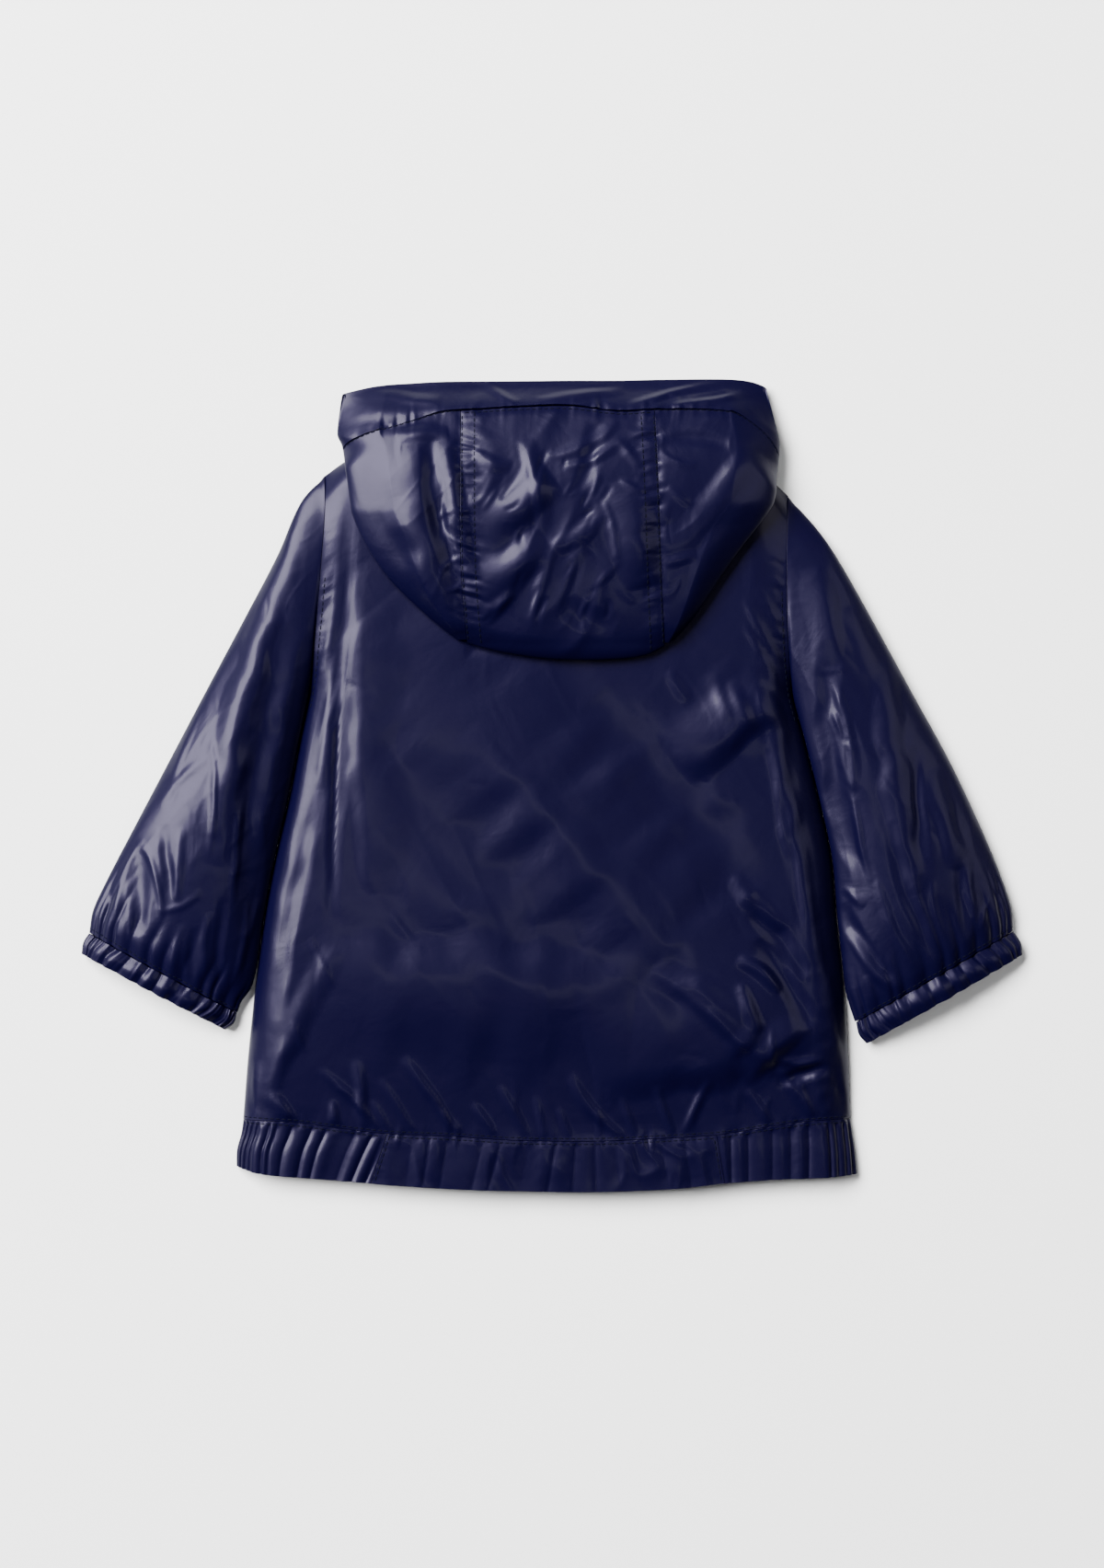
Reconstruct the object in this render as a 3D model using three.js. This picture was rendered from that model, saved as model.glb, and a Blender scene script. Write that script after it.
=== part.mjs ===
// A toddler's hooded raincoat, laid face down on a table with its hood folded over the back.
// Millimetres, +Z up, +Y towards the hood. The table is the plane z = 0.
import * as THREE from 'three';

// Cloth and seams
const CLOTH = 1.2; // wall of the coated cloth
const BAND = 1.6; // wall of the doubled hem, cuffs and hood edge
const GAP = 0.3; // between two pieces at a seam
const LAY = 0.6; // between the hood and the back that it lies on
const FOLD_GAP = 0.8; // at the hood band's seam where it runs round the folded edge
const SEAM_Z = CLOTH + GAP; // where the back's edge stands on the front's

// Roundings of the laid coat
const SIDE_ROUND = 15; // from the side seam up to the back
const TOP_ROUND = 13; // from the shoulder seam up to the back
const NECK_HALF = 60; // from the middle of the neck to its end at the shoulder
const NECK_Z = 10.5; // height of the back's neck edge in the middle
const ARMHOLE_Z = 11.5; // height of the armhole in the middle
const ARCH_POWER = 0.8; // how square the top of a sleeve is
const BODY_FALL = 0.12; // share of its height that the back loses from its middle to its sides

// Body outline at each height up the coat, and how high the back lies there
const BODY = [
  { y: -215, left: -172, right: 167, crown: 12 },
  { y: -200, left: -172, right: 165.5, crown: 12.5 },
  { y: -190, left: -169.5, right: 164, crown: 12.5 },
  { y: -182, left: -168.5, right: 163, crown: 13 },
  { y: -150, left: -166, right: 162, crown: 16 },
  { y: -116, left: -162.5, right: 160, crown: 18 },
  { y: -73, left: -157, right: 155.5, crown: 18.5 },
  { y: -40, left: -151, right: 152.5, crown: 18 },
  { y: -5, left: -143, right: 145, crown: 17.5 },
  { y: 25, left: -137.5, right: 137.5, crown: 17 },
  { y: 50, left: -132.5, right: 131, crown: 16.5 },
  { y: 84, left: -128.5, right: 128, crown: 16 },
  { y: 125, left: -125, right: 127.5, crown: 15 },
  { y: 150, left: -123.5, right: 128.5, crown: 14 },
  { y: 170, left: -124, right: 129.5, crown: 13 },
  { y: 195, left: -124, right: 129.5, crown: 12 },
];

// Shoulder and neck line across the coat
const TOP_LINE = [
  { x: -124, y: 168 },
  { x: -112, y: 176.5 },
  { x: -95, y: 183.5 },
  { x: -78, y: 188.5 },
  { x: -60, y: 192 },
  { x: -30, y: 188 },
  { x: 0, y: 186.5 },
  { x: 30, y: 187.5 },
  { x: 60, y: 190 },
  { x: 78, y: 186 },
  { x: 95, y: 180.5 },
  { x: 112, y: 172.5 },
  { x: 129.5, y: 156.5 },
];

// Hem band across the coat: the seam above it and its lower edge
const HEM = [
  { x: -172, seam: -182.5, edge: -208.5 },
  { x: -160, seam: -183, edge: -212 },
  { x: -139, seam: -184, edge: -214 },
  { x: -112, seam: -187.5, edge: -216 },
  { x: -89.5, seam: -190, edge: -218 },
  { x: -53, seam: -191.5, edge: -220.3 },
  { x: -21, seam: -193.5, edge: -221.3 },
  { x: 24, seam: -194, edge: -221.8 },
  { x: 69, seam: -192, edge: -220 },
  { x: 91, seam: -190.5, edge: -217.5 },
  { x: 119, seam: -186, edge: -215.3 },
  { x: 137, seam: -183.5, edge: -214.7 },
  { x: 152, seam: -182.5, edge: -214 },
  { x: 167, seam: -182.3, edge: -212.5 },
];
// The two seams across the hem band, where its gathered side pieces begin
const HEM_JOINS = { left: { top: -89.5, bottom: -98.5 }, right: { top: 89.5, bottom: 94 } };

const HEM_BACK_GATHERS = 13;
const HEM_BACK_GATHER_HIGH = 0.45;
const HEM_SIDE_GATHERS = { left: 11, right: 9 };
const HEM_SIDE_GATHER_HIGH = 1.1;

// Sleeves from the armhole (t = 0) to the cuff seam (t = 1): outer and inner edge, and height
const SLEEVES = {
  left: [
    { t: 0, outX: -124.3, outY: 168, inX: -133.2, inY: 50, top: ARMHOLE_Z },
    { t: 0.08, outX: -137, outY: 153.5, inX: -135.9, inY: 36, top: 13.5 },
    { t: 0.2, outX: -149.5, outY: 125, inX: -140.2, inY: 15, top: 15.5 },
    { t: 0.35, outX: -167.5, outY: 90.5, inX: -146.2, inY: -16, top: 17 },
    { t: 0.5, outX: -188.5, outY: 51, inX: -153, inY: -46, top: 18.5 },
    { t: 0.65, outX: -209, outY: 12, inX: -158.2, inY: -75, top: 19.5 },
    { t: 0.8, outX: -229, outY: -26, inX: -161.6, inY: -98, top: 19.5 },
    { t: 0.9, outX: -242.5, outY: -52, inX: -164.8, inY: -111, top: 18 },
    { t: 0.96, outX: -250.3, outY: -69, inX: -169.5, inY: -119, top: 16 },
    { t: 1, outX: -252.3, outY: -81, inX: -171.5, inY: -124.5, top: 13.5 },
  ],
  right: [
    { t: 0, outX: 129.8, outY: 156.5, inX: 132, inY: 48, top: ARMHOLE_Z },
    { t: 0.08, outX: 145, outY: 139, inX: 135.4, inY: 35, top: 13.5 },
    { t: 0.2, outX: 158, outY: 119, inX: 141, inY: 13, top: 15.5 },
    { t: 0.35, outX: 176, outY: 87, inX: 147.8, inY: -16, top: 17 },
    { t: 0.5, outX: 197, outY: 48.5, inX: 153.4, inY: -42, top: 18.5 },
    { t: 0.65, outX: 217, outY: 12, inX: 156.1, inY: -70, top: 19.5 },
    { t: 0.8, outX: 234.8, outY: -26, inX: 158.9, inY: -97, top: 19.5 },
    { t: 0.9, outX: 245, outY: -51, inX: 161, inY: -113, top: 18 },
    { t: 0.96, outX: 250.5, outY: -68, inX: 163.6, inY: -123, top: 16 },
    { t: 1, outX: 251.3, outY: -80, inX: 165.5, inY: -129.5, top: 13.5 },
  ],
};
// Elastic cuffs from their seam (t = 0) to the opening (t = 1)
const CUFFS = {
  left: [
    { t: 0, outX: -252.5, outY: -81.4, inX: -171.8, inY: -124.9, top: 13 },
    { t: 0.5, outX: -255.6, outY: -86.5, inX: -173.5, inY: -130.5, top: 14.5 },
    { t: 1, outX: -256.5, outY: -92.5, inX: -178, inY: -134, top: 13 },
  ],
  right: [
    { t: 0, outX: 251.5, outY: -80.4, inX: 165.8, inY: -129.9, top: 13 },
    { t: 0.5, outX: 255.6, outY: -86.5, inX: 167.3, inY: -136.5, top: 14.5 },
    { t: 1, outX: 256.5, outY: -93, inX: 171.5, inY: -141.5, top: 13 },
  ],
};
const SLEEVE_EDGE_Z = 4.5; // widest point of a sleeve above the table
const SLEEVE_CORNER = 5; // rounding under the sleeve's edges
const SLEEVE_CLEAR = 0.7; // between a sleeve and the side of the body that it lies against
const CUFF_GATHERS = 11; // across the top of a cuff
const CUFF_GATHER_HIGH = 1; // from a cuff's middle surface to the top of a gather
const SLEEVE_GATHER_HIGH = 0.9; // the same at the end of the sleeve

// Hood outline at each height up the coat, and how high its upper layer lies in the middle
const HOOD = [
  { y: 76, left: -48.5, right: 64, top: 25.5 },
  { y: 83.5, left: -58.5, right: 71.5, top: 27 },
  { y: 95, left: -72, right: 80.5, top: 28.5 },
  { y: 111.5, left: -88.5, right: 91, top: 30 },
  { y: 128, left: -100, right: 102.5, top: 30.5 },
  { y: 146, left: -108.3, right: 116.5, top: 30.3 },
  { y: 153, left: -109.5, right: 120.5, top: 30 },
  { y: 170, left: -112, right: 122.8, top: 28 },
  { y: 184, left: -114.3, right: 124, top: 24.5 },
  { y: 190, left: -117, right: 123.3, top: 22.5 },
  { y: 205, left: -116, right: 119.8, top: 17 },
  { y: 216, left: -114.5, right: 117.5, top: 12 },
  { y: 222, left: -114, right: 117, top: 10 },
];
// Stitched line of the hood's edge band, and the top edge
const HOOD_BAND = [
  { x: -117.5, stitch: 186.5, top: 214.5 },
  { x: -97, stitch: 191, top: 218.3 },
  { x: -75, stitch: 197, top: 219.6 },
  { x: -60, stitch: 201.5, top: 220.1 },
  { x: -40, stitch: 203, top: 220.2 },
  { x: -14, stitch: 204.5, top: 220.3 },
  { x: 10, stitch: 205, top: 220.5 },
  { x: 36, stitch: 202, top: 220.8 },
  { x: 59, stitch: 203, top: 221.3 },
  { x: 97, stitch: 202, top: 221.6 },
  { x: 110.5, stitch: 197.5, top: 220.5 },
  { x: 123, stitch: 191, top: 216.5 },
];
// Bottom fold of the hood's middle panel
const HOOD_FOLD = [
  { x: -49, y: 77.5 },
  { x: -38, y: 74 },
  { x: -25, y: 71 },
  { x: -5, y: 68 },
  { x: 12, y: 67 },
  { x: 36, y: 67.5 },
  { x: 52, y: 70 },
  { x: 62, y: 75 },
];
// The two seams between the hood's middle and side panels
const HOOD_SEAMS = [
  { y: 76, left: -46, right: 61 },
  { y: 116, left: -49, right: 59 },
  { y: 161, left: -49.5, right: 57.5 },
  { y: 205, left: -49.5, right: 55.5 },
];
const HOOD_TIP = { left: 78, right: 76.5 }; // lower ends of the hood's side panels
const HOOD_ROUND = 9; // rounding of the hood's folded edge, above
const HOOD_UNDER_ROUND = 6; // and below
const HOOD_FOLD_ROUND = 11; // rounding of the fold at its lower end
const HOOD_MID = 0.42; // height of the folded edge between the two layers
const HOOD_FALL = 0.13; // share of its height that the hood loses from its middle to its sides
const HOOD_LEAST = 5; // least height of the hood's upper layer over its lower one
const TIP_ROUND = 0.45; // largest share of the narrow end of a side panel that the rounding takes
const TIP_UNDER_ROUND = 0.4; // and below
const BAND_SEAM_Y = 205; // where the hood's seams meet its edge band
const FACE_EDGE_STEP = 5; // the hood's lower face edge lies this far behind the upper one
const HOOD_MIDDLE_COLUMNS = 10; // of the grid between the hood's seams
const HOOD_UNDER_COLUMNS = 6; // and from a seam to the folded edge, underneath
const NECK_BLEND = 14; // past the neck's end, over which the hood lifts off the shoulder
const SHOULDER_DROP = { from: -6, to: 10 }; // past the shoulder seam, where it comes down to the table

// Largest folds of the back: from (x0, y0) to (x1, y1), bowed sideways, wide on either side, high
const BACK_FOLDS = [
  { x0: -109, y0: 158, x1: -119.5, y1: -62, bow: 1, wideLeft: 6, wideRight: 5, high: -3.2 },
  { x0: -124, y0: 78, x1: -152, y1: -112, bow: -1, wideLeft: 9, wideRight: 9, high: 2.4 },
  { x0: -103, y0: 150, x1: -104, y1: -125, bow: 3, wideLeft: 7, wideRight: 22, high: 2.2 },
  { x0: 112, y0: 128, x1: 128, y1: -60, bow: 8, wideLeft: 13, wideRight: 7, high: 2 },
  { x0: 121, y0: 100, x1: 146, y1: -120, bow: 6, wideLeft: 7, wideRight: 9, high: -2 },
  { x0: 80, y0: 60, x1: 122, y1: 12, bow: 5, wideLeft: 22, wideRight: 26, high: 2.4 },
  { x0: -78, y0: 78, x1: 150, y1: -150, bow: -14, wideLeft: 40, wideRight: 60, high: 2.6 },
  { x0: -150, y0: -90, x1: -112, y1: -176, bow: 3, wideLeft: 16, wideRight: 14, high: 2.2 },
  { x0: 60, y0: -120, x1: 138, y1: -158, bow: 5, wideLeft: 12, wideRight: 15, high: 2.4 },
  { x0: 138, y0: -100, x1: 155, y1: -184, bow: -2, wideLeft: 7, wideRight: 5, high: -2.2 },
  { x0: -62, y0: -150, x1: -30, y1: -186, bow: 2, wideLeft: 10, wideRight: 9, high: 1.4 },
  { x0: 8, y0: -152, x1: 34, y1: -188, bow: 3, wideLeft: 11, wideRight: 10, high: 1.5 },
];
// Largest folds of a left sleeve; the right sleeve has its own
const SLEEVE_FOLDS = {
  left: [
    { x0: -140, y0: 125, x1: -196, y1: -50, bow: 9, wideLeft: 16, wideRight: 22, high: 2.6 },
    { x0: -146, y0: 60, x1: -172, y1: -80, bow: 4, wideLeft: 12, wideRight: 12, high: -2.4 },
    { x0: -222, y0: -28, x1: -226, y1: -86, bow: 4, wideLeft: 9, wideRight: 10, high: -2.4 },
    { x0: -204, y0: -30, x1: -192, y1: -106, bow: -5, wideLeft: 11, wideRight: 12, high: 2.6 },
    { x0: -236, y0: -38, x1: -241, y1: -84, bow: 2, wideLeft: 7, wideRight: 8, high: 2 },
    { x0: -176, y0: -58, x1: -178, y1: -112, bow: 3, wideLeft: 8, wideRight: 8, high: 2 },
  ],
  right: [
    { x0: 144, y0: 116, x1: 205, y1: -60, bow: 7, wideLeft: 20, wideRight: 16, high: 2.4 },
    { x0: 140, y0: 62, x1: 176, y1: -70, bow: -6, wideLeft: 9, wideRight: 11, high: 2.4 },
    { x0: 166, y0: 60, x1: 192, y1: -96, bow: 5, wideLeft: 10, wideRight: 11, high: -2.2 },
    { x0: 200, y0: 20, x1: 222, y1: -92, bow: 6, wideLeft: 10, wideRight: 9, high: -2.4 },
    { x0: 226, y0: -20, x1: 235, y1: -84, bow: 3, wideLeft: 8, wideRight: 9, high: 2 },
    { x0: 164, y0: -78, x1: 186, y1: -114, bow: 3, wideLeft: 9, wideRight: 8, high: 2.2 },
  ],
};
// Largest folds of the hood's upper layer
const HOOD_FOLDS = [
  { x0: -97, y0: 186, x1: -62, y1: 90, bow: -9, wideLeft: 9, wideRight: 9, high: 2.6 },
  { x0: -84, y0: 180, x1: -58, y1: 100, bow: -8, wideLeft: 6, wideRight: 8, high: -2.4 },
  { x0: -66, y0: 190, x1: -60, y1: 138, bow: -6, wideLeft: 8, wideRight: 9, high: 2 },
  { x0: -36, y0: 176, x1: -2, y1: 142, bow: 9, wideLeft: 8, wideRight: 12, high: 2.4 },
  { x0: -30, y0: 108, x1: 12, y1: 140, bow: -7, wideLeft: 9, wideRight: 10, high: 2.2 },
  { x0: 4, y0: 84, x1: 14, y1: 168, bow: 5, wideLeft: 7, wideRight: 7, high: -2.2 },
  { x0: 30, y0: 184, x1: 50, y1: 120, bow: -6, wideLeft: 9, wideRight: 11, high: 2.4 },
  { x0: 108, y0: 184, x1: 72, y1: 100, bow: 6, wideLeft: 12, wideRight: 12, high: 2.2 },
  { x0: 88, y0: 186, x1: 66, y1: 150, bow: 4, wideLeft: 9, wideRight: 9, high: -1.8 },
];

// Front opening, hidden under the coat: one front laps the other and presses shut
const LAP_HALF = 14; // half the width of the lap
const LAP_RISE = 10; // over which a front rises into the lap
const SNAP_RADIUS = 6;
const SNAP_HEIGHT = 1;
const SNAP_YS = [162, 98, 34, -30, -94, -158];

// Share of the way up the body at each row of its grids, closer together at the underarm
const BODY_ROWS = [
  0, 0.05, 0.11, 0.17, 0.24, 0.31, 0.38, 0.45, 0.52, 0.58, 0.63, 0.67, 0.71, 0.75, 0.8, 0.86, 0.93, 1,
];
// Share of the way down a sleeve at each row of its grid, closer together at both ends
const SLEEVE_ROWS = [
  0, 0.03, 0.07, 0.12, 0.19, 0.27, 0.36, 0.45, 0.54, 0.63, 0.71, 0.79, 0.85, 0.9, 0.94, 0.97, 1,
];

// Colours
const NAVY = 0x141a3c;
const SNAP_NAVY = 0x10142c;

const clothMaterial = new THREE.MeshStandardMaterial({ color: NAVY, roughness: 0.28, metalness: 0 });
const snapMaterial = new THREE.MeshStandardMaterial({ color: SNAP_NAVY, roughness: 0.35, metalness: 0 });

// Small helpers
const clamp = (v, low, high) => Math.min(high, Math.max(low, v));
const lerp = (a, b, t) => a + (b - a) * t;
const ramp = (from, to, v) => {
  const t = clamp((v - from) / (to - from), 0, 1);
  return t * t * (3 - 2 * t);
};
const quarter = (t) => Math.sqrt(1 - (1 - clamp(t, 0, 1)) ** 2);

/** Reads a column of a table as a smooth curve of another column, held level past both ends. */
function curve(rows, from, to) {
  const slope = rows.map((row, i) => {
    const a = rows[Math.max(0, i - 1)];
    const b = rows[Math.min(rows.length - 1, i + 1)];
    return (b[to] - a[to]) / (b[from] - a[from]);
  });
  return (v) => {
    if (v <= rows[0][from]) return rows[0][to];
    const i = rows.findIndex((row) => row[from] > v) - 1;
    if (i < 0) return rows[rows.length - 1][to];
    const span = rows[i + 1][from] - rows[i][from];
    const t = (v - rows[i][from]) / span;
    const rise = rows[i + 1][to] - rows[i][to];
    const m0 = slope[i] * span;
    const m1 = slope[i + 1] * span;
    return rows[i][to] + t * (m0 + t * (3 * rise - 2 * m0 - m1 + t * (m0 + m1 - 2 * rise)));
  };
}

/** Sum of a table's folds at a point: each is a soft ridge or trough that dies out at both ends. */
function foldHeight(folds, x, y) {
  let sum = 0;
  for (const f of folds) {
    const dx = f.x1 - f.x0;
    const dy = f.y1 - f.y0;
    const long = Math.hypot(dx, dy);
    const t = ((x - f.x0) * dx + (y - f.y0) * dy) / (long * long);
    if (t <= 0 || t >= 1) continue;
    const across = ((x - f.x0) * dy - (y - f.y0) * dx) / long - f.bow * 4 * t * (1 - t);
    const q = across / (across < 0 ? f.wideLeft : f.wideRight);
    if (Math.abs(q) >= 1) continue;
    sum += f.high * (1 - q * q) ** 2 * Math.sin(Math.PI * t) ** 0.7;
  }
  return sum;
}

/** An uneven wave of whole gathers along a piece, from -1 to 1. */
function gatherWave(s, count, seed) {
  const warped = s + (0.35 / count) * Math.sin(2 * Math.PI * (2.7 * s + seed));
  const uneven = 0.72 + 0.28 * Math.sin(2 * Math.PI * (count * 0.37 * s + 1.7 * seed));
  return uneven * Math.sin(2 * Math.PI * count * warped);
}

/** Values from 0 to the number of zones, with the given number of steps in each zone. */
function steps(...perZone) {
  const values = [0];
  perZone.forEach((n, zone) => {
    for (let i = 1; i <= n; i++) values.push(zone + i / n);
  });
  return values;
}

/**
 * A cloth wall as one closed solid. base(s, v) gives a smooth surface that is seen from outside
 * with v running up and s to the right. relief(s, v) moves it along its normal, and the inside
 * follows one thickness behind. square(normal, s, v) turns the normal level with a seam.
 */
function wall({
  name,
  across,
  along,
  base,
  relief = () => 0,
  square = () => {},
  thick = CLOTH,
  ring = false,
}) {
  const nudge = 0.01;
  const sLow = across[0];
  const sHigh = across[across.length - 1];
  const vLow = along[0];
  const vHigh = along[along.length - 1];
  const columns = ring ? across.slice(0, -1) : across;
  const outer = [];
  const inner = [];
  for (const v of along) {
    for (const s of columns) {
      const sA = ring ? (s - nudge + sHigh) % sHigh : clamp(s - nudge, sLow, sHigh);
      const sB = ring ? (s + nudge) % sHigh : clamp(s + nudge, sLow, sHigh);
      const ds = base(sB, v).sub(base(sA, v));
      const dv = base(s, clamp(v + nudge, vLow, vHigh)).sub(base(s, clamp(v - nudge, vLow, vHigh)));
      const normal = ds.cross(dv).normalize();
      square(normal, s, v);
      normal.normalize();
      const lift = relief(s, v);
      outer.push(base(s, v).addScaledVector(normal, lift));
      inner.push(base(s, v).addScaledVector(normal, lift - thick));
    }
  }
  const wide = columns.length;
  const high = along.length;
  const index = [];
  const inside = outer.length;
  const quad = (a, b, c, d) => index.push(a, b, c, a, c, d);
  const last = ring ? wide : wide - 1;
  for (let j = 0; j < high - 1; j++) {
    for (let i = 0; i < last; i++) {
      const k = (i + 1) % wide;
      const [a, b, c, d] = [j * wide + i, j * wide + k, (j + 1) * wide + k, (j + 1) * wide + i];
      quad(a, b, c, d);
      quad(inside + a, inside + d, inside + c, inside + b);
    }
  }
  for (let i = 0; i < last; i++) {
    const k = (i + 1) % wide;
    const top = (high - 1) * wide;
    quad(i, inside + i, inside + k, k);
    quad(top + k, inside + top + k, inside + top + i, top + i);
  }
  if (!ring) {
    for (let j = 0; j < high - 1; j++) {
      const [a, d] = [j * wide, (j + 1) * wide];
      const [b, c] = [a + wide - 1, d + wide - 1];
      quad(a, d, inside + d, inside + a);
      quad(c, b, inside + b, inside + c);
    }
  }
  const geometry = new THREE.BufferGeometry();
  const points = [...outer, ...inner].flatMap((p) => [p.x, p.y, p.z]);
  geometry.setAttribute('position', new THREE.Float32BufferAttribute(points, 3));
  geometry.setIndex(index);
  geometry.computeVertexNormals();
  const mesh = new THREE.Mesh(geometry, clothMaterial);
  mesh.name = name;
  return mesh;
}

/** The same surface with its rows run the other way, so that its outside is on the other side. */
function flip(read) {
  return (s, v) => read(s, 1 - v);
}

/** Where a line up the coat, x = xAt(y), meets a line across it, y = yAt(x). */
function meet(xAt, yAt) {
  let y = 0;
  for (let i = 0; i < 7; i++) y = yAt(xAt(y));
  return [xAt(y), y];
}

/** Height up the coat from low to high: 0 to 1 below the last rounding, 1 to 2 in equal turns of it. */
function climb(low, high, v) {
  if (v < 1) return lerp(low, high - TOP_ROUND, v);
  return high - TOP_ROUND * (1 - Math.sin(((v - 1) * Math.PI) / 2));
}

// The body as one laid tube
const bodyLeft = curve(BODY, 'y', 'left');
const bodyRight = curve(BODY, 'y', 'right');
const bodyCrown = curve(BODY, 'y', 'crown');
const topLine = curve(TOP_LINE, 'x', 'y');
const hemSeam = curve(HEM, 'x', 'seam');
const hemEdge = curve(HEM, 'x', 'edge');
const hoodLeft = curve(HOOD, 'y', 'left');
const hoodRight = curve(HOOD, 'y', 'right');
const hoodTop = curve(HOOD, 'y', 'top');
const hoodStitch = curve(HOOD_BAND, 'x', 'stitch');
const hoodTopEdge = curve(HOOD_BAND, 'x', 'top');
const hoodFoldY = curve(HOOD_FOLD, 'x', 'y');
const hoodSeam = { left: curve(HOOD_SEAMS, 'y', 'left'), right: curve(HOOD_SEAMS, 'y', 'right') };

/** Height of the back's side edge: on the side seam, or up at the armhole where a sleeve is set in. */
function rimZ(side, y) {
  const { inY, outY } = SLEEVES[side][0];
  const f = clamp((y - inY) / (outY - inY), 0, 1);
  return SEAM_Z + (ARMHOLE_Z - SEAM_Z) * (1 - (2 * f - 1) ** 2) ** (ARCH_POWER / 2);
}

/** Height of the back before it is closed at the shoulders. */
function openBackZ(x, y) {
  const left = bodyLeft(y);
  const right = bodyRight(y);
  const side = x - left < right - x ? 'left' : 'right';
  const inward = Math.min(x - left, right - x);
  const rim = rimZ(side, y);
  const armhole = (rim - SEAM_Z) / (ARMHOLE_Z - SEAM_Z);
  const rise = quarter(inward / SIDE_ROUND) ** (1 + armhole);
  const across = (2 * (x - left)) / (right - left) - 1;
  return lerp(rim, bodyCrown(y) * (1 - BODY_FALL * across * across), rise);
}

/** Height of the back, closed down to the shoulder seams and left open at the neck. */
function backZ(x, y) {
  const open = openBackZ(x, y);
  const neck = Math.max(0, 1 - (x / NECK_HALF) ** 2);
  const edge = Math.min(open, lerp(SEAM_Z, NECK_Z, neck));
  return lerp(edge, open, quarter((topLine(x) - y) / TOP_ROUND));
}

/** How far a point of the back is out from under the hood: 0 is well under it, 1 is clear of it. */
function clearOfHood(x, y) {
  const inX = Math.min(x - hoodLeft(y), hoodRight(y) - x);
  const inY = y - HOOD_FOLD[4].y;
  return 1 - ramp(0, 9, Math.min(inX, inY));
}

function backRelief(x, y) {
  const inward = Math.min(x - bodyLeft(y), bodyRight(y) - x);
  const quiet = ramp(0, 9, inward) * ramp(0, 6, y - hemSeam(x));
  return foldHeight(BACK_FOLDS, x, y) * quiet * clearOfHood(x, y);
}

/** x of the laid body across it: 0 to 1 and 2 to 3 round its two edges, 1 to 2 crosses the back. */
function acrossBody(s, y) {
  const left = bodyLeft(y);
  const right = bodyRight(y);
  if (s < 1) return left + SIDE_ROUND * (1 - Math.cos((s * Math.PI) / 2));
  if (s > 2) return right - SIDE_ROUND * (1 - Math.cos(((3 - s) * Math.PI) / 2));
  return lerp(left + SIDE_ROUND, right - SIDE_ROUND, s - 1);
}

/** Columns of the back. They fall under the hood's at the neck, and are closer at the left crease. */
function backColumns() {
  const y = topLine(0);
  const span = acrossBody(2, y) - acrossBody(1, y);
  const seams = [hoodSeam.left(y), hoodSeam.right(y)];
  const [first, second] = seams.map((x) => 1 + (x - acrossBody(1, y)) / span);
  const side = steps(4);
  const middle = steps(HOOD_MIDDLE_COLUMNS).map((v) => lerp(first, second, v));
  const left = [1, 2, 3, 4, 5, 6, 7, 8, 10].map((half) => lerp(1, first, half / (2 * HOOD_UNDER_COLUMNS)));
  const right = [1, 2, 3, 4, 5].map((whole) => lerp(second, 2, whole / HOOD_UNDER_COLUMNS));
  return [...side, ...left, ...middle, ...right, ...side.map((v) => 2 + v)];
}

/** Turns a normal level with a line across the coat, so that a wall ends square on that line. */
function squareOn(normal, line, x) {
  const through = new THREE.Vector3(line(x - 1) - line(x + 1), 2, 0).normalize();
  normal.addScaledVector(through, -normal.dot(through));
}

function makeBack() {
  const base = (s, v) => {
    const [x, y] = meet((y0) => acrossBody(s, y0), (x0) => climb(hemSeam(x0), topLine(x0), v));
    return new THREE.Vector3(x, y, backZ(x, y));
  };
  const relief = (s, v) => {
    const p = base(s, v);
    return backRelief(p.x, p.y);
  };
  const square = (normal, s, v) => {
    if (v < 2) return;
    const { x } = base(s, v);
    normal.set(topLine(x - 1) - topLine(x + 1), 2, 0);
  };
  const along = [...BODY_ROWS, 1.25, 1.5, 1.75, 2];
  return wall({ name: 'back', across: backColumns(), along, base, relief, square });
}

/** A flat piece of a front between two lines across the coat, risen into the lap at the middle. */
function makeFront({ name, side, outerX, low, high, along }) {
  const sign = side === 'left' ? -1 : 1;
  const foot = sign * (LAP_HALF + LAP_RISE);
  const lapEdge = -sign * LAP_HALF;
  const lapZ = SNAP_HEIGHT + GAP + (side === 'left' ? 0 : CLOTH + GAP);
  const base = (s, v) => {
    const xAt = (y) => (s < 1 ? lerp(outerX(y, v), foot, s) : lerp(foot, lapEdge, s - 1));
    const [x, y] = meet(xAt, (x0) => lerp(low(x0), high(x0), v));
    return new THREE.Vector3(x, y, lapZ * (1 - ramp(LAP_HALF, LAP_HALF + LAP_RISE, sign * x)));
  };
  const across = steps(8, 5);
  if (side === 'right') return wall({ name, across, along, base });
  return wall({ name, across, along: along.map((v) => 1 - v).reverse(), base: flip(base) });
}

function makeFronts(side) {
  const sign = side === 'left' ? -1 : 1;
  const sideX = side === 'left' ? bodyLeft : bodyRight;
  const joinX = HEM_JOINS[side].bottom - sign * GAP;
  const hemTop = (x) => hemSeam(x) - GAP;
  const panel = { side, outerX: sideX, low: hemSeam, high: topLine, along: BODY_ROWS };
  const band = { side, outerX: () => joinX, low: hemEdge, high: hemTop, along: [0, 1] };
  return [makeFront({ name: `front_${side}`, ...panel }), makeFront({ name: `hem_front_${side}`, ...band })];
}

// The hem band: a plain piece at the back, and a gathered piece round each side
function hemY(x, v) {
  return lerp(hemEdge(x), hemSeam(x) - GAP, v);
}

function hemJoinX(side, v) {
  return lerp(HEM_JOINS[side].bottom, HEM_JOINS[side].top, v);
}

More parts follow.
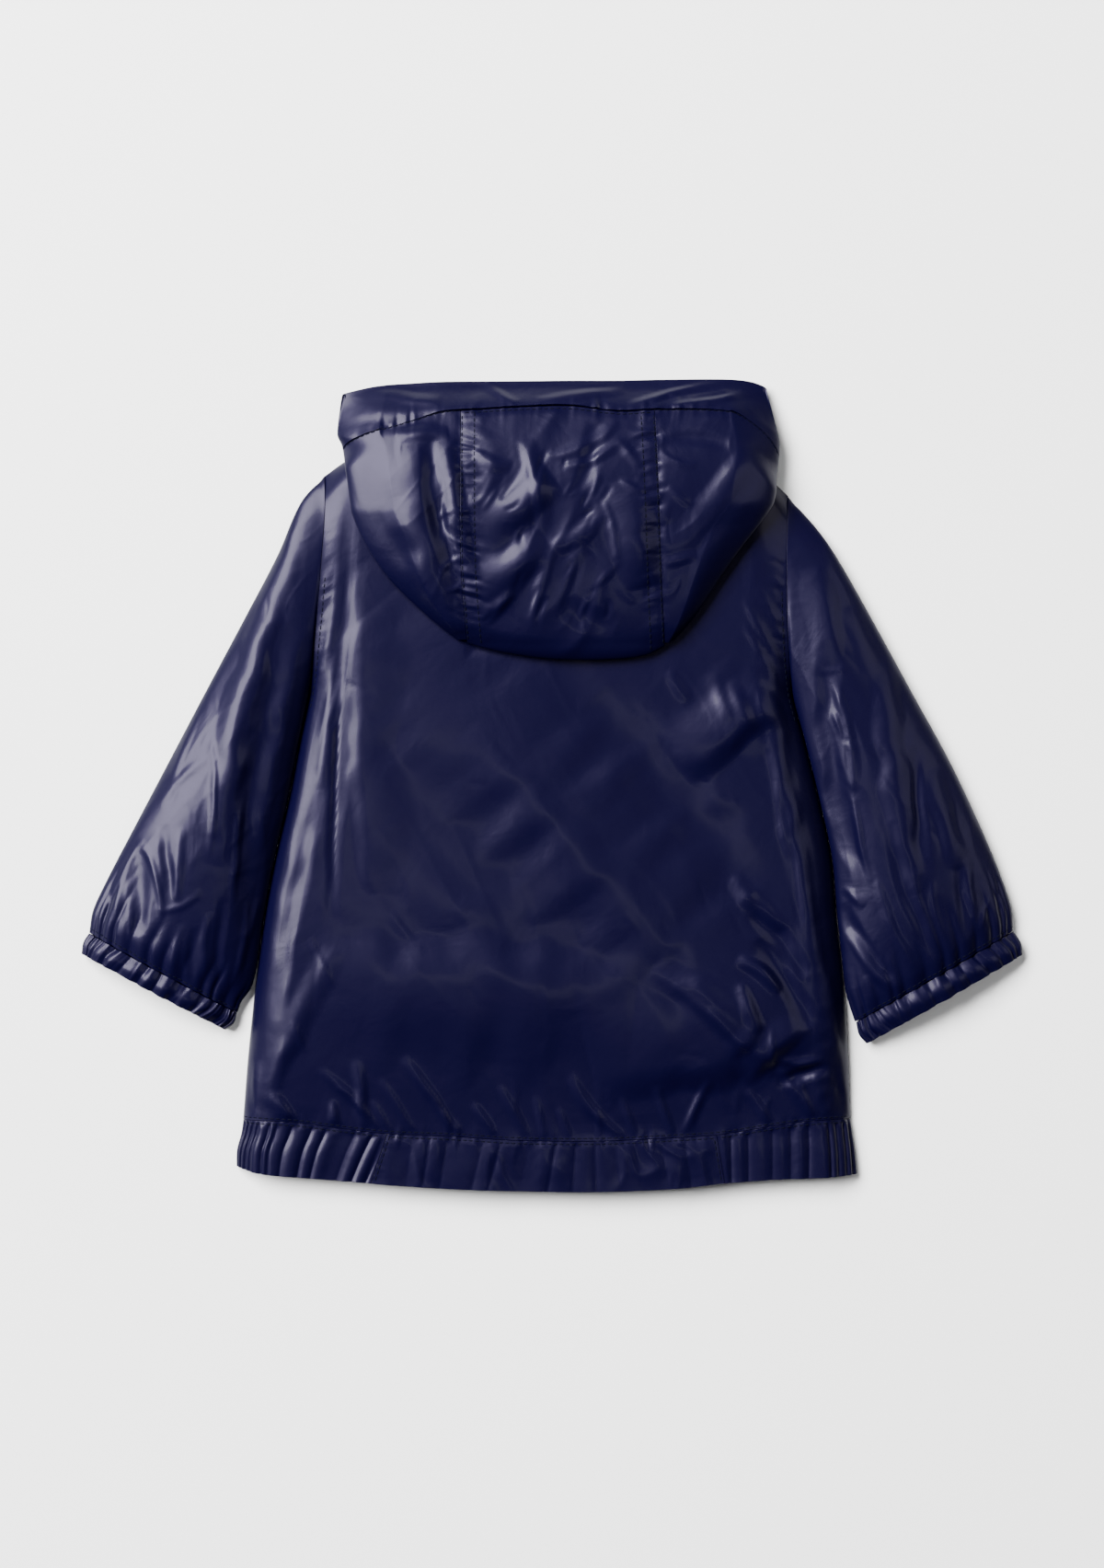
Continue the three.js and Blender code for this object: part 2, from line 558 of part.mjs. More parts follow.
function makeHemBack() {
  const base = (s, v) => {
    const x = lerp(hemJoinX('left', v) + GAP / 2, hemJoinX('right', v) - GAP / 2, s);
    const y = hemY(x, v);
    return new THREE.Vector3(x, y, backZ(x, y));
  };
  const relief = (s) => {
    const quiet = ramp(0, 0.06, s) * ramp(0, 0.06, 1 - s);
    return HEM_BACK_GATHER_HIGH * gatherWave(s, HEM_BACK_GATHERS, 0.2) * quiet;
  };
  const across = steps(4 * HEM_BACK_GATHERS);
  return wall({ name: 'hem_back', across, along: steps(2), base, relief, thick: BAND });
}

/** One gathered side piece: under the coat, round its side edge and over the back as far as the join. */
function makeHemSide(side) {
  const gathers = HEM_SIDE_GATHERS[side];
  const sign = side === 'left' ? -1 : 1;
  const edgeX = side === 'left' ? bodyLeft : bodyRight;
  const base = (s, v) => {
    const turn = ((s % 1) * Math.PI) / 2;
    const xAt = (y) => {
      const edge = edgeX(y);
      if (s < 1) return lerp(HEM_JOINS[side].bottom, edge - sign * SEAM_Z, s);
      if (s < 2) return edge - sign * SEAM_Z * (1 - Math.sin(turn));
      if (s < 3) return edge - sign * SIDE_ROUND * (1 - Math.cos(turn));
      return lerp(edge - sign * SIDE_ROUND, hemJoinX(side, v) + (sign * GAP) / 2, s - 3);
    };
    const [x, y] = meet(xAt, (x0) => hemY(x0, v));
    if (s < 1) return new THREE.Vector3(x, y, 0);
    return new THREE.Vector3(x, y, s < 2 ? SEAM_Z * (1 - Math.cos(turn)) : backZ(x, y));
  };
  const relief = (s) => {
    if (s < 2) return 0;
    const quiet = ramp(2, 2.4, s) * ramp(0, 0.1, 4 - s);
    return HEM_SIDE_GATHER_HIGH * gatherWave((s - 2) / 2, gathers, 0.6) * quiet;
  };
  const across = steps(2, 2, 9, (gathers - 3) * 4);
  const turned = side === 'left' ? (read) => read : flip;
  return wall({
    name: `hem_side_${side}`,
    across,
    along: steps(2),
    base: turned(base),
    relief: turned(relief),
    thick: BAND,
  });
}

// Sleeves and cuffs: flattened tubes
function tubeReader(rows) {
  const columns = {};
  for (const key of ['outX', 'outY', 'inX', 'inY', 'top']) columns[key] = curve(rows, 't', key);
  return (t) => Object.fromEntries(Object.entries(columns).map(([key, read]) => [key, read(t)]));
}

/**
 * A point of a flattened tube: 0 to 1 flat on the table from the inner to the outer edge, 1 to 2 up
 * the outer edge, 2 to 3 over the top, 3 to 4 down the inner edge.
 */
function tubePoint(station, s, edgeZ, corner) {
  const { outX, outY, inX, inY, top } = station;
  const round = corner / Math.hypot(outX - inX, outY - inY);
  const turn = ((s % 1) * Math.PI) / 2;
  let f;
  let z;
  if (s < 1) {
    f = lerp(round, 1 - round, s);
    z = 0;
  } else if (s < 2) {
    f = 1 - round * (1 - Math.sin(turn));
    z = edgeZ * (1 - Math.cos(turn));
  } else if (s < 3) {
    f = 0.5 + 0.5 * Math.cos(2 * turn);
    z = edgeZ + (top - edgeZ) * Math.sin(2 * turn) ** ARCH_POWER;
  } else {
    f = round * (1 - Math.cos(turn));
    z = edgeZ * (1 - Math.sin(turn));
  }
  return new THREE.Vector3(lerp(inX, outX, f), lerp(inY, outY, f), z);
}

/** Turns a tube's normal level with the seam at its end, along the line from inner to outer edge. */
function squareTo(normal, station, share) {
  const seam = new THREE.Vector3(station.outX - station.inX, station.outY - station.inY, 0).normalize();
  const through = new THREE.Vector3(-seam.y, seam.x, 0);
  normal.addScaledVector(through, -share * normal.dot(through));
}

function makeSleeve(side) {
  const station = tubeReader(SLEEVES[side]);
  const sign = side === 'left' ? -1 : 1;
  const edgeX = side === 'left' ? bodyLeft : bodyRight;
  const tube = (s, t) => {
    const settled = ramp(0, 0.15, t);
    const edgeZ = lerp(SEAM_Z, SLEEVE_EDGE_Z, settled);
    return tubePoint(station(t), s, edgeZ, lerp(SEAM_Z, SLEEVE_CORNER, settled));
  };
  const base = (s, t) => {
    const p = tube(s, t);
    const start = tube(s, 0);
    p.x += (edgeX(start.y) + sign * GAP - start.x) * (1 - ramp(0, 0.2, t));
    const clear = sign * (p.x - edgeX(p.y));
    p.x += sign * Math.max(0, lerp(GAP, SLEEVE_CLEAR, ramp(0, 0.03, t)) - clear);
    return p;
  };
  const relief = (s, t) => {
    if (s <= 2 || s >= 3) return 0;
    const p = base(s, t);
    const quiet = ramp(2, 2.25, s) * ramp(0, 0.25, 3 - s);
    const folds = foldHeight(SLEEVE_FOLDS[side], p.x, p.y) * ramp(0, 0.08, t) * (1 - ramp(0.93, 1, t));
    const gathers = SLEEVE_GATHER_HIGH * gatherWave(s - 2, CUFF_GATHERS, 0.4) * ramp(0.86, 1, t);
    return (folds + gathers) * quiet;
  };
  const square = (normal, s, t) => {
    const near = Math.max(1 - ramp(0, 0.06, t), ramp(0.94, 1, t));
    squareTo(normal, station(t), near);
  };
  const across = steps(2, 3, 20, 3);
  return tubeWall({ name: `sleeve_${side}`, side, across, along: SLEEVE_ROWS, base, relief, square });
}

function makeCuff(side) {
  const station = tubeReader(CUFFS[side]);
  const base = (s, t) => tubePoint(station(t), s, SLEEVE_EDGE_Z, SLEEVE_CORNER);
  const relief = (s) => {
    if (s <= 2 || s >= 3) return 0;
    const quiet = ramp(2, 2.15, s) * ramp(0, 0.15, 3 - s);
    return CUFF_GATHER_HIGH * gatherWave(s - 2, CUFF_GATHERS, 0.4) * quiet;
  };
  const square = (normal, s, t) => squareTo(normal, station(t), 1);
  const across = steps(2, 3, CUFF_GATHERS * 4, 3);
  return tubeWall({ name: `cuff_${side}`, side, across, along: steps(2), base, relief, square, thick: BAND });
}

/** A closed tube wall. A left tube runs the other way round, so that its outside faces out too. */
function tubeWall({ side, base, relief, square, along, ...rest }) {
  if (side === 'right') return wall({ ...rest, along, base, relief, square, ring: true });
  return wall({
    ...rest,
    along: along.map((t) => 1 - t).reverse(),
    base: flip(base),
    relief: flip(relief),
    square: (normal, s, t) => square(normal, s, 1 - t),
    ring: true,
  });
}

// The hood: two layers folded at their outer edges, open at the face and at the neck
/** Height of what the hood lies on: the back, and past the shoulders the table. */
function restZ(x, y) {
  const past = y - topLine(x);
  const off = ramp(NECK_HALF, NECK_HALF + NECK_BLEND, Math.abs(x));
  const low = lerp(backZ(x, y - Math.max(0, past)), openBackZ(x, y), off) + LAY;
  const share = lerp(off, 1, ramp(0, SHOULDER_DROP.to, past));
  return low * (1 - share * ramp(SHOULDER_DROP.from, SHOULDER_DROP.to, past));
}

/** Heights of the hood's two layers and of the folded edge between them. */
function hoodHeights(x, y) {
  const middle = (hoodLeft(y) + hoodRight(y)) / 2;
  const across = (x - middle) / ((hoodRight(y) - hoodLeft(y)) / 2);
  const low = restZ(x, y);
  const top = Math.max(hoodTop(y) * (1 - HOOD_FALL * across * across), low + HOOD_LEAST);
  const foldX = clamp(x, hoodSeam.left(y), hoodSeam.right(y));
  const open = quarter((y - hoodFoldY(foldX)) / HOOD_FOLD_ROUND);
  const edge = lerp(low, top, HOOD_MID);
  return { low: lerp(edge, low, open), top: lerp(edge, top, open), edge };
}

/**
 * Point of one side of the hood: 0 to 1 over the upper layer from the seam to the folded edge,
 * 1 to 3 round the fold, 3 to 4 under it from the folded edge to the seam. yAt(x) is its line.
 */
function hoodSidePoint(side, s, yAt, seamGap) {
  const sign = side === 'left' ? -1 : 1;
  const edgeX = side === 'left' ? hoodLeft : hoodRight;
  const turn = ((s % 1) * Math.PI) / 2;
  const xAt = (y) => {
    const edge = edgeX(y);
    const seam = hoodSeam[side](y) + sign * seamGap;
    const over = Math.min(HOOD_ROUND, TIP_ROUND * Math.abs(edge - seam));
    const under = Math.min(HOOD_UNDER_ROUND, TIP_UNDER_ROUND * Math.abs(edge - seam));
    if (s < 1) return lerp(seam, edge - sign * over, s);
    if (s < 2) return edge - sign * over * (1 - Math.sin(turn));
    if (s < 3) return edge - sign * under * (1 - Math.cos(turn));
    return lerp(edge - sign * under, seam, s - 3);
  };
  const [x, y] = meet(xAt, yAt);
  const heights = hoodHeights(x, y);
  if (s < 1) return new THREE.Vector3(x, y, heights.top);
  if (s < 2) return new THREE.Vector3(x, y, lerp(heights.edge, heights.top, Math.cos(turn)));
  if (s < 3) return new THREE.Vector3(x, y, lerp(heights.edge, heights.low, Math.sin(turn)));
  return new THREE.Vector3(x, y, heights.low);
}

/** Line between the hood's side panel and its edge band: the stitching above, the neck line below. */
function bandLine(s, x) {
  return lerp(hoodStitch(x), topLine(x), ramp(1, 3, s));
}

function makeHoodSide(side) {
  const base = (s, v) => hoodSidePoint(side, s, (x) => climb(HOOD_TIP[side], bandLine(s, x), v), GAP / 2);
  const relief = (s, v) => {
    if (s > 1.6) return 0;
    const p = base(s, v);
    const quiet = ramp(0, 4, p.y - HOOD_TIP[side]) * ramp(0, 5, hoodStitch(p.x) - p.y);
    return foldHeight(HOOD_FOLDS, p.x, p.y) * quiet * (1 - ramp(0.8, 1.6, s));
  };
  const square = (normal, s, v) => {
    if (s >= 3 && v === 2) squareOn(normal, topLine, base(s, v).x);
  };
  const across = steps(8, 4, 3, HOOD_UNDER_COLUMNS);
  const along = steps(10, 4);
  if (side === 'right') return wall({ name: 'hood_side_right', across, along, base, relief, square });
  return wall({
    name: 'hood_side_left',
    across,
    along: along.map((v) => 2 - v).reverse(),
    base: (s, v) => base(s, 2 - v),
    relief: (s, v) => relief(s, 2 - v),
    square: (normal, s, v) => square(normal, s, 2 - v),
  });
}

/** The middle panel: 0 to 2 its lower layer from the neck down, 2 to 4 round the fold, 4 to 5 the top. */
function makeHoodMiddle() {
  const base = (s, v) => {
    const turn = ((v % 1) * Math.PI) / 2;
    const xAt = (y) => lerp(hoodSeam.left(y) + GAP / 2, hoodSeam.right(y) - GAP / 2, s);
    const yAt = (x) => {
      const fold = hoodFoldY(x);
      if (v < 2) return climb(fold + HOOD_FOLD_ROUND, topLine(x), 2 - v);
      if (v < 3) return fold + HOOD_FOLD_ROUND * (1 - Math.sin(turn));
      if (v < 4) return fold + HOOD_FOLD_ROUND * (1 - Math.cos(turn));
      return lerp(fold + HOOD_FOLD_ROUND, hoodStitch(x), v - 4);
    };
    const [x, y] = meet(xAt, yAt);
    const heights = hoodHeights(x, y);
    return new THREE.Vector3(x, y, v < 3 ? heights.low : heights.top);
  };
  const relief = (s, v) => {
    const p = base(s, v);
    return foldHeight(HOOD_FOLDS, p.x, p.y) * ramp(3.4, 4, v) * ramp(0, 5, hoodStitch(p.x) - p.y);
  };
  const across = steps(HOOD_MIDDLE_COLUMNS);
  return wall({ name: 'hood_middle', across, along: steps(4, 6, 3, 4, 13), base, relief });
}

/**
 * The band round the face opening, a strip from the chin to the chin. Its left half has six zones:
 * on the table to the neck's end, under the hood, round the fold in two, over it, and the middle.
 */
function makeHoodBand() {
  const neckEnd = 3 + (HOOD_UNDER_COLUMNS - 1) / HOOD_UNDER_COLUMNS;
  const underZ = (x, y) => restZ(x, y) * ramp(NECK_HALF - 2, NECK_HALF + 4, Math.abs(x));
  const sidePoint = (side, zone, v) => {
    const gap = zone > 1 && zone < 3 ? FOLD_GAP : GAP;
    const faceEdge = (x) => hoodTopEdge(x) - FACE_EDGE_STEP * ramp(1, 3, zone);
    const yAt = (x) => lerp(bandLine(zone, x) + gap, faceEdge(x), v);
    const p = hoodSidePoint(side, zone, yAt, 0);
    if (zone > 3) p.z = underZ(p.x, p.y);
    return p;
  };
  const chinPoint = (side, share, v) => {
    const x = lerp(side === 'left' ? -GAP / 2 : GAP / 2, sidePoint(side, neckEnd, v).x, share);
    const y = lerp(topLine(x) + GAP, hoodTopEdge(x) - FACE_EDGE_STEP, v);
    return new THREE.Vector3(x, y, underZ(x, y));
  };
  const base = (s, v) => {
    if (s >= 5 && s <= 6) {
      const x = lerp(hoodSeam.left(BAND_SEAM_Y), hoodSeam.right(BAND_SEAM_Y), s - 5);
      const y = lerp(hoodStitch(x) + GAP, hoodTopEdge(x), v);
      return new THREE.Vector3(x, y, hoodHeights(x, y).top);
    }
    const side = s < 5 ? 'left' : 'right';
    const fromChin = side === 'left' ? s : 11 - s;
    if (fromChin < 1) return chinPoint(side, fromChin, v);
    if (fromChin < 2) return sidePoint(side, lerp(neckEnd, 3, fromChin - 1), v);
    return sidePoint(side, 5 - fromChin, v);
  };
  const square = (normal, s, v) => {
    if (v === 0 && (s < 2 || s > 9)) squareOn(normal, topLine, base(s, v).x);
  };
  const half = [5, HOOD_UNDER_COLUMNS - 1, 3, 4, 8];
  const across = steps(...half, HOOD_MIDDLE_COLUMNS, ...half.slice().reverse());
  return wall({ name: 'hood_band', across, along: steps(2), base, square });
}

function makeSnaps() {
  const group = new THREE.Group();
  const rim = 0.3;
  const profile = [
    new THREE.Vector2(0, 0),
    new THREE.Vector2(SNAP_RADIUS - rim, 0),
    new THREE.Vector2(SNAP_RADIUS, rim),
    new THREE.Vector2(SNAP_RADIUS, SNAP_HEIGHT),
    new THREE.Vector2(0, SNAP_HEIGHT),
  ];
  SNAP_YS.forEach((y, i) => {
    const snap = new THREE.Mesh(new THREE.LatheGeometry(profile, 12), snapMaterial);
    snap.name = `snap_${i + 1}`;
    snap.rotation.x = Math.PI / 2;
    snap.position.set(0, y, 0);
    group.add(snap);
  });
  return group;
}

const raincoat = new THREE.Group();
raincoat.add(makeBack(), makeHemBack(), makeHemSide('left'), makeHemSide('right'));
for (const side of ['left', 'right']) {
  raincoat.add(...makeFronts(side), makeSleeve(side), makeCuff(side), makeHoodSide(side));
}
raincoat.add(makeHoodMiddle(), makeHoodBand(), makeSnaps());

export default raincoat;
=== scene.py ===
import bpy
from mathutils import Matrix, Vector
import numpy as np


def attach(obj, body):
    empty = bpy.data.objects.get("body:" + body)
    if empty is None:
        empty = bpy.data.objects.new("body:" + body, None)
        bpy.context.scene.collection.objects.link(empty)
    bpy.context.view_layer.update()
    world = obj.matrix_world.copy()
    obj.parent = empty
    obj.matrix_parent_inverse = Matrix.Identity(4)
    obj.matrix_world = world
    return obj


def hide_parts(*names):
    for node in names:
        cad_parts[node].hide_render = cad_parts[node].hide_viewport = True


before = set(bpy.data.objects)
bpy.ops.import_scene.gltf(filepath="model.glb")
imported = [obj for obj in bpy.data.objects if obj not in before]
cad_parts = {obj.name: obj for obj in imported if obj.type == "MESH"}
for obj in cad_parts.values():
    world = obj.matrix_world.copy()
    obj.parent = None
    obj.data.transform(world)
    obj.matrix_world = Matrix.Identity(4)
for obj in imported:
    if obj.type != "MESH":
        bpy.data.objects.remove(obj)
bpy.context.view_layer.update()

MILLIMETRE = 0.001
SEED = 7

# Cloth and seams
CLOTH = 1.2
BAND = 1.6  # the doubled hem, cuffs and hood edge
TURNED_IN = 3  # rows of a band's grid that go back under its edges
GAP = 0.3  # between two pieces at a seam
LAY = 0.6  # between the hood and the back under it
FOLD_GAP = 0.8  # at the hood band's seam round the folded edge
SEAM_Z = CLOTH + GAP

# The laid body
SIDE_ROUND = 19
TOP_ROUND = 13
EDGE_POWER = 1.6  # of both roundings: 2 is a quarter of a circle, less is flatter
BODY_FALL = 0.12  # share of its height that the back loses towards its sides
NECK_HALF = 60
NECK_Z = 10.5
ARMHOLE_Z = 11.5
ARMHOLE_STITCHES = 4  # from the armhole to the puckers beside it
HEM_WIDE = 28
HEM_BACK_LONG = 190
HEM_BACK_GATHERS = 14
HEM_SIDE_GATHERS = {"left": 12, "right": 9}

# Sleeves and cuffs
ARCH_POWER = 1.4  # of the arch over a sleeve: 1 is half an ellipse, more is narrower
SLEEVE_EDGE_Z = 4.5
SLEEVE_CORNER = 5
SLEEVE_CLEAR = 0.15  # least gap to the body's side below the armhole
SLEEVE_DRAWN = 0.9  # how far a sleeve near the body is drawn towards it
CUFF_ROUND = 216
CUFF_WIDE = 14
CUFF_GATHERS = {"left": 12, "right": 13}

# The hood, its folded edge rounded above and, less, below
HOOD_ROUND = 24
HOOD_UNDER_ROUND = 6
TIP_ROUND = 0.45  # largest share of a narrow panel that the rounding takes above
TIP_UNDER_ROUND = 0.4
HOOD_EDGE_POWER = 1.55  # 1 is a quarter of an ellipse, more is flatter
HOOD_FOLD_ROUND = 11
HOOD_MID = 0.42  # height of the folded edge between the two layers
HOOD_FALL = 0.13  # share of its height that the hood loses towards its sides
HOOD_LEAST = 5  # least height of the upper layer over the lower one
UNDER_HOOD = 9  # over which the back's folds die out under the hood's edge
BAND_SEAM_Y = 205
BAND_SLOPE = 0.2  # fall of the band towards the face opening
FACE_EDGE_STEP = 5  # the lower face edge lies this far behind the upper one
NECK_BLEND = 14  # past the neck's end, over which the hood lifts off the shoulder
SHOULDER_DROP = (-6, 10)  # past the shoulder seam, where it comes down to the floor
HOOD_SEAM_ALLOWANCE = 7.3
SEAM_DIP = 2.4

# The lap and the press studs of the hidden front opening
LAP_HALF = 14
LAP_RISE = 10
SNAP_RADIUS = 6
SNAP_HEIGHT = 1
SNAP_YS = (162, 98, 34, -30, -94, -158)


def table(names, rows):
    """A short table as one array for each of its named columns."""
    return dict(zip(names.split(), np.array(rows, dtype=float).T))


# Body outline at each height up the coat, and how high the back lies there
BODY = table("y left right crown", [
    (-215, -172, 167, 12), (-200, -172, 165.5, 12.5), (-190, -169.5, 164, 12.5), (-182, -168.5, 163, 13),
    (-150, -166, 162, 16), (-116, -162.5, 160, 18), (-73, -157, 155.5, 18.5), (-40, -151, 152.5, 18),
    (-5, -143, 145, 17.5), (25, -137.5, 137.5, 17), (50, -132.5, 131, 16.5), (84, -128.5, 128, 16),
    (125, -125, 127.5, 15), (150, -123.5, 128.5, 14), (170, -124, 129.5, 13), (195, -124, 129.5, 12),
])
# Shoulder and neck line across the coat
TOP_LINE = table("x y", [
    (-124, 168), (-112, 176.5), (-95, 183.5), (-78, 188.5), (-60, 192), (-30, 188),
    (0, 186.5), (30, 187.5), (60, 190), (78, 186), (95, 180.5), (112, 172.5),
    (129.5, 156.5),
])
# Hem band across the coat: the seam above it and its lower edge
HEM = table("x seam edge", [
    (-172, -182.5, -208.5), (-160, -183, -212), (-139, -184, -214), (-112, -187.5, -216),
    (-89.5, -190, -218), (-53, -191.5, -220.3), (-21, -193.5, -221.3), (24, -194, -221.8),
    (69, -192, -220), (91, -190.5, -217.5), (119, -186, -215.3), (137, -183.5, -214.7),
    (152, -182.5, -214), (167, -182.3, -212.5),
])
HEM_JOINS = {"left": {"top": -89.5, "bottom": -98.5}, "right": {"top": 89.5, "bottom": 94}}
# Sleeves from the armhole (t = 0) to the cuff seam (t = 1): outer and inner edge, and height
STATION = "t outX outY inX inY top"
SLEEVES = {
    "left": table(STATION, [
        (0, -124.3, 168, -133.2, 50, ARMHOLE_Z), (0.08, -137, 153.5, -135.9, 36, 13.5),
        (0.2, -149.5, 125, -140.2, 15, 15.5), (0.35, -167.5, 90.5, -146.2, -16, 17),
        (0.5, -188.5, 51, -153, -46, 18.5), (0.65, -209, 12, -158.2, -75, 19.5),
        (0.8, -229, -26, -161.6, -98, 19.5), (0.9, -242.5, -52, -164.8, -111, 18),
        (0.96, -250.3, -69, -169.5, -119, 16), (1, -252.3, -81, -171.5, -124.5, 13.5),
    ]),
    "right": table(STATION, [
        (0, 129.8, 156.5, 132, 48, ARMHOLE_Z), (0.08, 145, 139, 135.4, 35, 13.5),
        (0.2, 158, 119, 141, 13, 15.5), (0.35, 176, 87, 147.8, -16, 17),
        (0.5, 197, 48.5, 153.4, -42, 18.5), (0.65, 217, 12, 156.1, -70, 19.5),
        (0.8, 234.8, -26, 158.9, -97, 19.5), (0.9, 245, -51, 161, -113, 18),
        (0.96, 250.5, -68, 163.6, -123, 16), (1, 251.3, -80, 165.5, -129.5, 13.5),
    ]),
}
CUFFS = {
    "left": table(STATION, [
        (0, -252.5, -81.4, -171.8, -124.9, 13), (0.5, -255.6, -86.5, -173.5, -130.5, 14.5),
        (1, -256.5, -92.5, -178, -134, 13),
    ]),
    "right": table(STATION, [
        (0, 251.5, -80.4, 165.8, -129.9, 13), (0.5, 255.6, -86.5, 167.3, -136.5, 14.5),
        (1, 256.5, -93, 171.5, -141.5, 13),
    ]),
}
# Hood outline at each height up the coat, and how high its upper layer lies in the middle
HOOD = table("y left right top", [
    (76, -48.5, 64, 25.5), (83.5, -58.5, 71.5, 27), (95, -72, 80.5, 28.5), (111.5, -88.5, 91, 30),
    (128, -100, 102.5, 30.5), (146, -108.3, 116.5, 30.3), (153, -109.5, 120.5, 30), (170, -112, 122.8, 28),
    (184, -114.3, 124, 24.5), (190, -117, 123.3, 22.5), (205, -116, 119.8, 17), (216, -114.5, 117.5, 12),
    (222, -114, 117, 10),
])
# Stitched line of the hood's edge band, and the top edge
HOOD_BAND = table("x stitch top", [
    (-117.5, 186.5, 214.5), (-97, 191, 218.3), (-75, 197, 219.6), (-60, 201.5, 220.1),
    (-40, 203, 220.2), (-14, 204.5, 220.3), (10, 205, 220.5), (36, 202, 220.8),
    (59, 203, 221.3), (97, 202, 221.6), (110.5, 197.5, 220.5), (123, 191, 216.5),
])
HOOD_FOLD = table("x y", [
    (-49, 77.5), (-38, 74), (-25, 71), (-5, 68), (12, 67), (36, 67.5), (52, 70), (62, 75),
])
HOOD_SEAMS = table("y left right", [
    (76, -46, 61), (116, -49, 59), (161, -49.5, 57.5), (205, -49.5, 55.5),
])
HOOD_TIP = {"left": 78, "right": 76.5}

